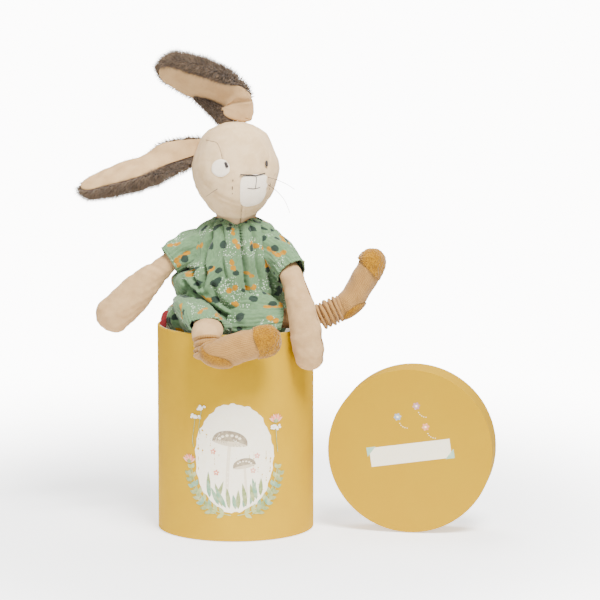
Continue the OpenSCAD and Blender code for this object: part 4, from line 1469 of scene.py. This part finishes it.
    def binding(self, palette: Palette) -> None:
        """Narrow folded band round the neck."""
        count, drop = 120, 2.6
        path = self.surface(np.zeros(count), around(count))
        path[:, 2] -= drop
        path = np.concatenate([path, path[:1]])
        turn = np.radians(around(14))[None, :, None]
        outward = unit((path - [0.5, 0, 0]) * [1, 1, 0])[:, None]
        puff = 1 + 0.1 * np.sin(np.arange(len(path)) * 2 * math.pi / count * 30)[:, None, None]
        rise = np.array([0, 0, 1.0]) * 2.7 * np.sin(turn)
        points = path[:, None] + outward * 0.95 * puff * np.cos(turn) + rise
        band = Sewing.piece("neck_band", points, palette[Finish.GAUZE])
        Sewing.weld(band)
        self.cloth(band, ("neck_binding",))

    def placket(self, palette: Palette) -> None:
        """Closing down the back with two rows of stitches."""
        t, angle = np.linspace(0.2, 0.66, 60)[:, None], np.linspace(97.5, 82.5, 16)[None]
        base = self.surface(t, angle)
        out = 1.9 + 0.12 * ripple(base, 9, 2) - 0.4 * (np.abs(angle - 90) > 7.2)
        strip = Sewing.piece("placket", self.surface(t, angle, out), palette[Finish.GAUZE], wrap=False,
                             outward=False)
        middle = len(strip.data.polygons) // 2
        if strip.data.polygons[middle].normal.y < 0:
            strip.data.flip_normals()
        Sewing.shell(strip, 0.8)
        stitches = []
        arch = 1.85 + 0.3 * np.sin(np.linspace(0, math.pi, 5))
        for at in (96.2, 83.8):
            for k in range(26):
                span = np.linspace(0.205 + 0.0175 * k, 0.216 + 0.0175 * k, 5)
                path = self.surface(span, np.full(5, at), arch)
                stitches.append(Sewing.tube("stitch", path, 0.22, palette.seam, 5))
        sewn = finish_piece(Sewing.join("placket_stitches", stitches), "trunk")
        self.cloth(strip, ("back_placket",))

    def tag(self, palette: Palette) -> None:
        """Folded ribbon in the side seam."""
        path = smooth_path([
            (-64.5, -6, 210.5), (-67, -6.4, 207.5), (-68.8, -6.8, 201), (-69.8, -7, 194),
            (-69.9, -7.6, 193.2), (-69.6, -8.2, 194), (-68.4, -8.0, 201), (-66.4, -7.6, 207.5),
            (-64.2, -7.2, 210)], 46)
        across = np.linspace(-3.2, 3.2, 9)
        sway = 0.25 * np.sin(np.linspace(0, 5, 46))[:, None, None] * [0, 1, 0]
        points = path[:, None] + across[:, None] * [0.97, 0.2, 0.05] + sway
        ribbon = Sewing.piece("ribbon_tag", points, palette[Finish.RIBBON], wrap=False, outward=False,
                              thick=0.3)
        finish_piece(ribbon, "trunk", ("side_ribbon",))


@dataclass(frozen=True)
class Tube:
    """Short gauze tube between the trunk and a limb, with shallow folds and a groove above its hem."""

    name: str
    node: str
    body: str
    form: Form
    gather: float
    seed: int

    def build(self, palette: Palette) -> None:
        """Makes the tube; it rides on no body."""
        s = np.concatenate([np.linspace(0, 0.9, 70), np.linspace(0.905, 1.0, 20)])
        a = around(210)
        turn = np.radians(a)[None]
        base = self.form.grid(s, a)
        pull = ease(s, 0.55, 1.0)[:, None]
        gathers = np.sin(19 * turn + 1.7 * np.sin(2 * turn + self.seed)) + 0.5 * np.sin(33 * turn + self.seed)
        out = self.gather * pull * gathers
        flat = flat_of(base, True)[:, :-1] / MM
        out += 0.34 * ripple(flat * [1, 0.25], 4.6, self.seed) + 0.75 * ripple(base, 17, self.seed + 5)
        out += 1.1 * (1 - pull) * np.sin(5 * turn + 3 * s[:, None] + self.seed) * ease(s, 0, 0.3)[:, None]
        out -= 0.45 * bell(s, 0.93, 0.012)[:, None]
        tube = Sewing.piece(self.name, self.form.grid(s, a, out), palette[Finish.GAUZE], thick=TUBE_THICK)
        finish_piece(tube, "", (self.node,))
        start, end = (self.form.frames(np.array([v]))[0][0] * MM for v in (0.15, 0.9))
        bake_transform(tube)


@dataclass(frozen=True)
class Sock:
    """Pushed-down knitted sock: a scrunched cuff, a foot, and looped heel and toe."""

    side: str
    start: tuple[float, float, float]
    end: tuple[float, float, float]
    folds: int
    foot: Form
    heel: tuple[float, float, float, float]
    toe: float = 0.86
    lean: float = 0.0
    radius: float = 13.2

    def cuff(self, palette: Palette) -> bpy.types.Object:
        """Stack of uneven ribbed folds."""
        a, b = np.array(self.start), np.array(self.end)
        way = unit(b - a)
        across = unit(np.cross(way, [0.3, 0.2, 1]))
        up = np.cross(way, across)
        t = np.linspace(0, 1, 26 * self.folds)[:, None]
        turn = np.radians(around(240))[None]
        tilt = 0.035 * np.sin(turn + 7 * t) + 0.02 * np.sin(2 * turn + 13 * t)
        phase = np.clip(t + tilt * np.sin(math.pi * t), 0, 1) * self.folds
        bulge = np.abs(np.sin(math.pi * phase)) ** 0.62
        number = np.floor(np.clip(phase, 0, self.folds - 1e-6))
        r = self.radius - 3.1 + bulge * (3.0 + 0.45 * np.sin(2 * turn + 2.2 * number))
        r = r + 0.16 * np.abs(np.sin(turn * 30)) * bulge
        r = r * (1 - 0.18 * bell(t, 0, 0.02) - 0.12 * bell(t, 1, 0.02))
        along = (b - a)[None, None] * t[..., None]
        points = a + along + r[..., None] * (across * np.cos(turn)[..., None] + up * np.sin(turn)[..., None])
        made = Sewing.piece(f"cuff_{self.side}", points, palette[Finish.KNIT], caps=(True, True))
        return finish_piece(made, f"leg_{self.side}", (f"sock_cuff_{self.side}",))

    def ribbed_foot(self, palette: Palette) -> bpy.types.Object:
        """Foot with fine ribs and two creases near the ankle."""
        s, a = runs((0, 1, 120), (1, 1.97, 22)), around(140)
        turn = np.radians(a)[None]
        out = 0.4 * ripple(self.foot.grid(s, a), 16, 12) + 0.1 * np.abs(np.sin(turn * 35))
        near, far = (s[:, None] + 0.02 * np.sin(turn + shift) for shift in (0, 1))
        out -= 1.0 * bell(near, 0.06, 0.012) + 0.7 * bell(far, 0.15, 0.014)
        points = self.foot.grid(s, a, out)
        made = Sewing.piece(f"foot_{self.side}", points, palette[Finish.KNIT], caps=(True, True))
        return finish_piece(made, f"leg_{self.side}", (f"sock_foot_{self.side}",))

    def looped_toe(self, palette: Palette) -> None:
        """Cap of loops over the toes; its edge waves a little, or slants if lean is set."""
        s = np.concatenate([[self.toe] * 2, runs((self.toe + 0.004, 1, 18), (1, 1.97, 34))])
        a = around(150)
        turn = np.radians(a)[None]
        rise = np.concatenate([[0.1, 0.9], np.full(len(s) - 2, 1.35)])[:, None]
        base = self.foot.grid(s, a)
        loops = 0.3 * ripple(base, 1.9, 21) + 0.25 * ripple(base, 9, 22)
        loops[:2] = 0
        if self.lean:
            shift = -self.lean * np.sin(turn) * np.clip((1 - s) / (1 - self.toe), 0, 1)[:, None]
        else:
            shift = 0.01 * np.sin(turn * 3) * (s[:, None] < 1)
        points = self.foot.skin(s[:, None] + shift, a[None], rise + loops)
        made = Sewing.piece(f"toe_{self.side}", points, palette[Finish.TERRY], caps=(False, True))
        finish_piece(made, f"leg_{self.side}", (f"sock_toe_{self.side}",))

    def looped_heel(self, palette: Palette) -> None:
        """Patch of loops over the heel."""
        made = Sewing.patch(self.foot, f"heel_{self.side}", *self.heel, 2.4, palette[Finish.TERRY],
                            off=0.4, thick=1.0, stitches=0.2)
        finish_piece(made, f"leg_{self.side}", (f"sock_heel_{self.side}",))

    def build(self, palette: Palette) -> None:
        """Makes all pieces of the sock."""
        self.cuff(palette)
        self.ribbed_foot(palette)
        self.looped_toe(palette)
        self.looped_heel(palette)


@dataclass(frozen=True)
class Studio:
    """Camera, soft lights and a pale floor, in metres."""

    place: tuple[float, float, float] = (0.062, -2.7714, 0.6191)
    aim: tuple[float, float, float] = (0.03, 0, 0.2)
    floor_z: float = -0.0006
    tilt: float = 81.8
    lens: float = 175.1

    def camera(self) -> None:
        """Makes the scene's camera."""
        data = bpy.data.cameras.new("camera")
        data.lens, data.sensor_width = self.lens, 36
        data.clip_end = 90
        made = bpy.data.objects.new("camera", data)
        made.location, made.rotation_euler = self.place, (math.radians(self.tilt), 0, 0)
        bpy.context.scene.collection.objects.link(made)
        bpy.context.scene.camera = made

    def light(self, name: str, spot: tuple[float, float, float], size: float, power: float) -> None:
        """Adds a soft square light aimed at the doll."""
        data = bpy.data.lights.new(name, "AREA")
        data.size, data.energy = size, power
        made = bpy.data.objects.new(name, data)
        made.location = spot
        way = Vector(self.aim) - Vector(spot)
        made.rotation_euler = way.to_track_quat("-Z", "Y").to_euler()
        bpy.context.scene.collection.objects.link(made)

    def build(self) -> None:
        """Makes the world, the lights and the floor."""
        world = bpy.data.worlds.new("studio")
        world.use_nodes = True
        shade = world.node_tree.nodes["Background"]
        seen = world.node_tree.nodes.new("ShaderNodeLightPath").outputs["Is Camera Ray"]
        power = world.node_tree.nodes.new("ShaderNodeMapRange")
        power.inputs["To Min"].default_value, power.inputs["To Max"].default_value = 0.84, 12.0
        world.node_tree.links.new(seen, power.inputs["Value"])
        world.node_tree.links.new(power.outputs[0], shade.inputs["Strength"])
        shade.inputs["Color"].default_value = (1, 0.99, 0.975, 1)
        bpy.context.scene.world = world
        self.light("key", (0.7, -1.4, 2.45), 1.0, 215)
        self.light("fill", (-1.7, -2.1, 1.0), 1.6, 30)
        self.light("top", (-0.2, 0.9, 2.4), 1.2, 54)
        mesh = bpy.data.meshes.new("floor")
        corners = [(x, y, self.floor_z) for x, y in ((-40, -8), (40, -8), (40, 46), (-40, 46))]
        mesh.from_pydata(corners, [], [(0, 1, 2, 3)])
        floor = bpy.data.objects.new("floor", mesh)
        sweep = Graph("floor", Roughness=0.9, Specular_IOR_Level=0.05, Emission_Strength=0.9)
        sweep.shader.inputs["Emission Color"].default_value = (1, 1, 1, 1)
        away = sweep.node("VectorMath", {0: sweep.place((1, 0.8, 1))}, operation="LENGTH").outputs["Value"]
        near = sweep.span(away, 0.22, 0.85, 1, 0)
        sweep.put(sweep.shader.inputs["Alpha"], sweep.math("POWER", near, 1.6))
        mesh.materials.append(sweep.colour(srgb(248, 248, 248)))
        bpy.context.scene.collection.objects.link(floor)


EARS = (
    Ear("right", (-44.6, -4.84, 362.9), (
        (12, 1.5, 2.5, 9.8, 0.4, 0.28, 0.05, 0.96), (-17, -1, -5, 15.2, 0.7, 0.24, 0.4, 0.88),
        (-40, -2, -13, 17.9, 1, 0.18, 0.84, 0.48), (-64, -2, -20, 19, 1, 0.15, 0.89, 0.42),
        (-88, -1, -28.5, 14.4, 0.72, 0.15, 0.89, 0.42)), 15.0, -1.0, 3, lower=0.9),
    Ear("left", (3.09, -6.73, 396.9), (
        (0, 0, 0, 13.7, 0.4, 1, 0, 0), (1.5, 0, 8.5, 13.7, 0.5, 0.98, -0.05, 0.15),
        (-4, -1, 19, 14.8, 0.66, 0.72, -0.4, 0.55), (-20.5, -2, 25.5, 16.7, 0.85, 0.38, -0.62, 0.68),
        (-42, -2, 32, 19, 0.9, 0.28, -0.66, 0.68), (-61, -2, 40, 15.2, 0.75, 0.28, -0.66, 0.68)),
        14.0, 0.3, 11, upper=0.28, skirt=0.28, crest=0.3, gusset=(
            (-38, 7, 17, 3.0, 2.6, 0.75, 0, 0.66), (-29, 8, 11.5, 5.2, 3.2, 0.75, 0, 0.66),
            (-20, 8, 4.5, 6.2, 4.0, 0.75, 0, 0.66), (-12.5, 6, -3.5, 6.0, 4.5, 0.75, 0, 0.66))),
)
ACROSS = (0.7, 0.0, -0.71)
ARM_RIGHT = Form((
    (-45.9, -8, 270, 9.8, 8.8, *ACROSS), (-64.9, -11, 256, 9.8, 9.3, *ACROSS),
    (-85.9, -13, 237, 14.8, 11.6, *ACROSS), (-104.9, -14, 218, 17.6, 12.7, *ACROSS),
    (-116.9, -14, 207, 17.6, 12.3, *ACROSS)), 9.8, 15.8)
ARM_LEFT = Form((
    (40.2, -16, 268, 9.8, 9.3, *ON_X), (51, -33, 254, 9.8, 9.3, *ON_X), (60.2, -51, 231, 11.8, 10.8, *ON_X),
    (66.3, -58.6, 203, 14.6, 12, *ON_X), (69.4, -58.8, 184, 15, 12, *ON_X),
    (71, -57.6, 173, 13.4, 10.9, *ON_X)), 9.8, 11.6)
LEG_RIGHT = Form((
    (-27.5, -42, 203.5, 11.5, 8.8, *ON_X), (-25.6, -55.1, 205.4, 12.6, 8.2, *ON_X),
    (-24.6, -65, 204.6, 13.6, 7, *ON_X), (-24.4, -76, 202.4, 14, 8.6, *ON_X),
    (-24.6, -84, 197, 13.4, 10.5, *ON_X), (-24.6, -87.5, 191, 12, 9.5, *ON_X)), 12.5, 3.0)
LEG_LEFT = Form((
    (26, -32, 205, 11.5, 10.5, 0, 1, 0), (46, -31, 206.6, 12.4, 9.4, 0, 1, 0),
    (63.9, -23.3, 204.3, 13, 7.2, 0, 1, 0), (75.2, -22.1, 206.2, 10.8, 7.4, 0, 1, 0),
    (81.7, -22, 208.8, 10.8, 8.8, 0, 1, 0)), 12.5, 3.0)
LIMBS = (
    Limb("arm_right_velour", "arm_right", "arm_right", ARM_RIGHT, 262, ((0.34, 0.8, 0.02), (0.5, 0.5, 0.03)),
         0.75, 5),
    Limb("arm_left_velour", "arm_left", "arm_left", ARM_LEFT, 18, ((0.42, 0.5, 0.03), (0.62, 0.4, 0.03)),
         0.75, 6),
    Limb("leg_right_velour", "leg_right", "leg_right", LEG_RIGHT, 270, ((0.92, 0.8, 0.04),), 0.7, 7,
         last=1.9),
    Limb("leg_left_velour", "leg_left", "leg_left", LEG_LEFT, 90, ((0.8, 0.8, 0.05),), 0.7, 8, last=1.9),
)
TUBES = (
    Tube("sleeve_gauze_right", "sleeve_right", "arm_right", Form((
        (-16, -2, 272, 20, 22, 0.1, 0, -1), (-35, -4.5, 272.5, 17.3, 19, 0.15, 0, -1),
        (-49.5, -8, 267.5, 15.4, 15.6, 0.35, 0, -0.94), (-62.5, -10.8, 259.3, 14.8, 13.2, 0.5, 0, -0.86))),
         0.35, 1),
    Tube("sleeve_gauze_left", "sleeve_left", "arm_left", Form((
        (13, -4, 272, 21, 23, 0.1, 0, 1), (31, -8, 271.5, 17.6, 19, 0.3, 0, 0.95),
        (43.5, -20.5, 263.8, 15.8, 15.4, 0.55, 0, 0.83), (54, -36, 251, 15.4, 14.2, 0.74, 0, 0.67))),
         0.35, 2),
    Tube("bloomer_gauze_right", "bloomer_right", "leg_right", Form((
        (-31, -18, 203, 34, 16.5, 0.78, 0, -0.62), (-30, -36, 204.6, 31.5, 15.5, 0.79, 0, -0.61),
        (-25.6, -52.5, 205.6, 24.5, 12.6, 0.91, 0, -0.38), (-24.8, -65.5, 203.6, 17.2, 9.4, 0.99, 0, -0.1))),
         0.3, 4),
    Tube("bloomer_gauze_left", "bloomer_left", "leg_left", Form((
        (-2, -27, 211, 27, 8, 0, 0.5, 0.86), (14, -35, 211.5, 27, 11, 0, 0.52, 0.85),
        (29, -37.5, 210, 23, 12.5, 0, 0.64, 0.76), (43.5, -35.5, 206.8, 17.2, 12.8, 0, 0.85, 0.53))),
         0.4, 9),
)
AHEAD = (0.0, -1.0, 0.0)
SOCKS = (
    Sock("right", (-24.8, -84.5, 197.5), (-23.8, -92.5, 178.5), 4, Form((
        (-22.5, -91, 189.5, 11.2, 10.6, *AHEAD), (-19, -96, 185, 12, 12, *AHEAD),
        (-9.5, -98.8, 184.6, 13.4, 14, *AHEAD), (3.5, -99, 188.8, 13.6, 14.4, *AHEAD),
        (16, -98.5, 192.2, 13.2, 14, *AHEAD), (30.6, -97.3, 195.4, 12.6, 13.8, *AHEAD)), 0, 13),
        (0.28, 58, 0.2, 54)),
    Sock("left", (80.2, -22, 206), (100, -21.6, 215.3), 5, Form((
        (97.6, -21.6, 214.2, 11.4, 11.4, *AHEAD), (105.4, -21.5, 218.4, 12.2, 12.2, *AHEAD),
        (112.6, -21.3, 224.7, 12.2, 12.2, *AHEAD), (117.6, -21.1, 233.2, 12.2, 12.2, *AHEAD),
        (124.1, -20.9, 245.2, 12.6, 12.6, *AHEAD), (130.1, -20.8, 258.2, 12.4, 12.4, *AHEAD)), 0, 13),
         (0.25, 90, 0.21, 68), 0.9, 0.07),
)


def inner_trunk(palette: Palette) -> None:
    """Stuffed velour trunk under the romper."""
    romper = Romper()
    t, angle = np.linspace(0.0, 1, 60), around(96)
    points = romper.surface(t[:, None], angle[None], -3.2 - 5.2 * ease(t, 0.03, 0.14)[:, None])
    trunk = Sewing.piece("trunk_velour", points, palette[Finish.VELOUR], caps=(True, True))
    finish_piece(trunk, "trunk", ("torso",))


def main() -> None:
    """Builds every sub-assembly in order, then the set."""
    logging.basicConfig(level=logging.INFO, format="%(name)s: %(message)s")
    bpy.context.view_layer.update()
    studio = Studio()
    studio.camera()
    palette = Palette()
    Box().build(palette)
    Lid().build(palette)
    paint_node("placket_buttons", palette[Finish.BUTTON])
    inner_trunk(palette)
    Head().build(palette)
    for part in (*EARS, *LIMBS):
        part.build(palette)
    Romper().build(palette)
    for part in (*TUBES, *SOCKS):
        part.build(palette)
    studio.build()


if __name__ == "__main__":
    main()
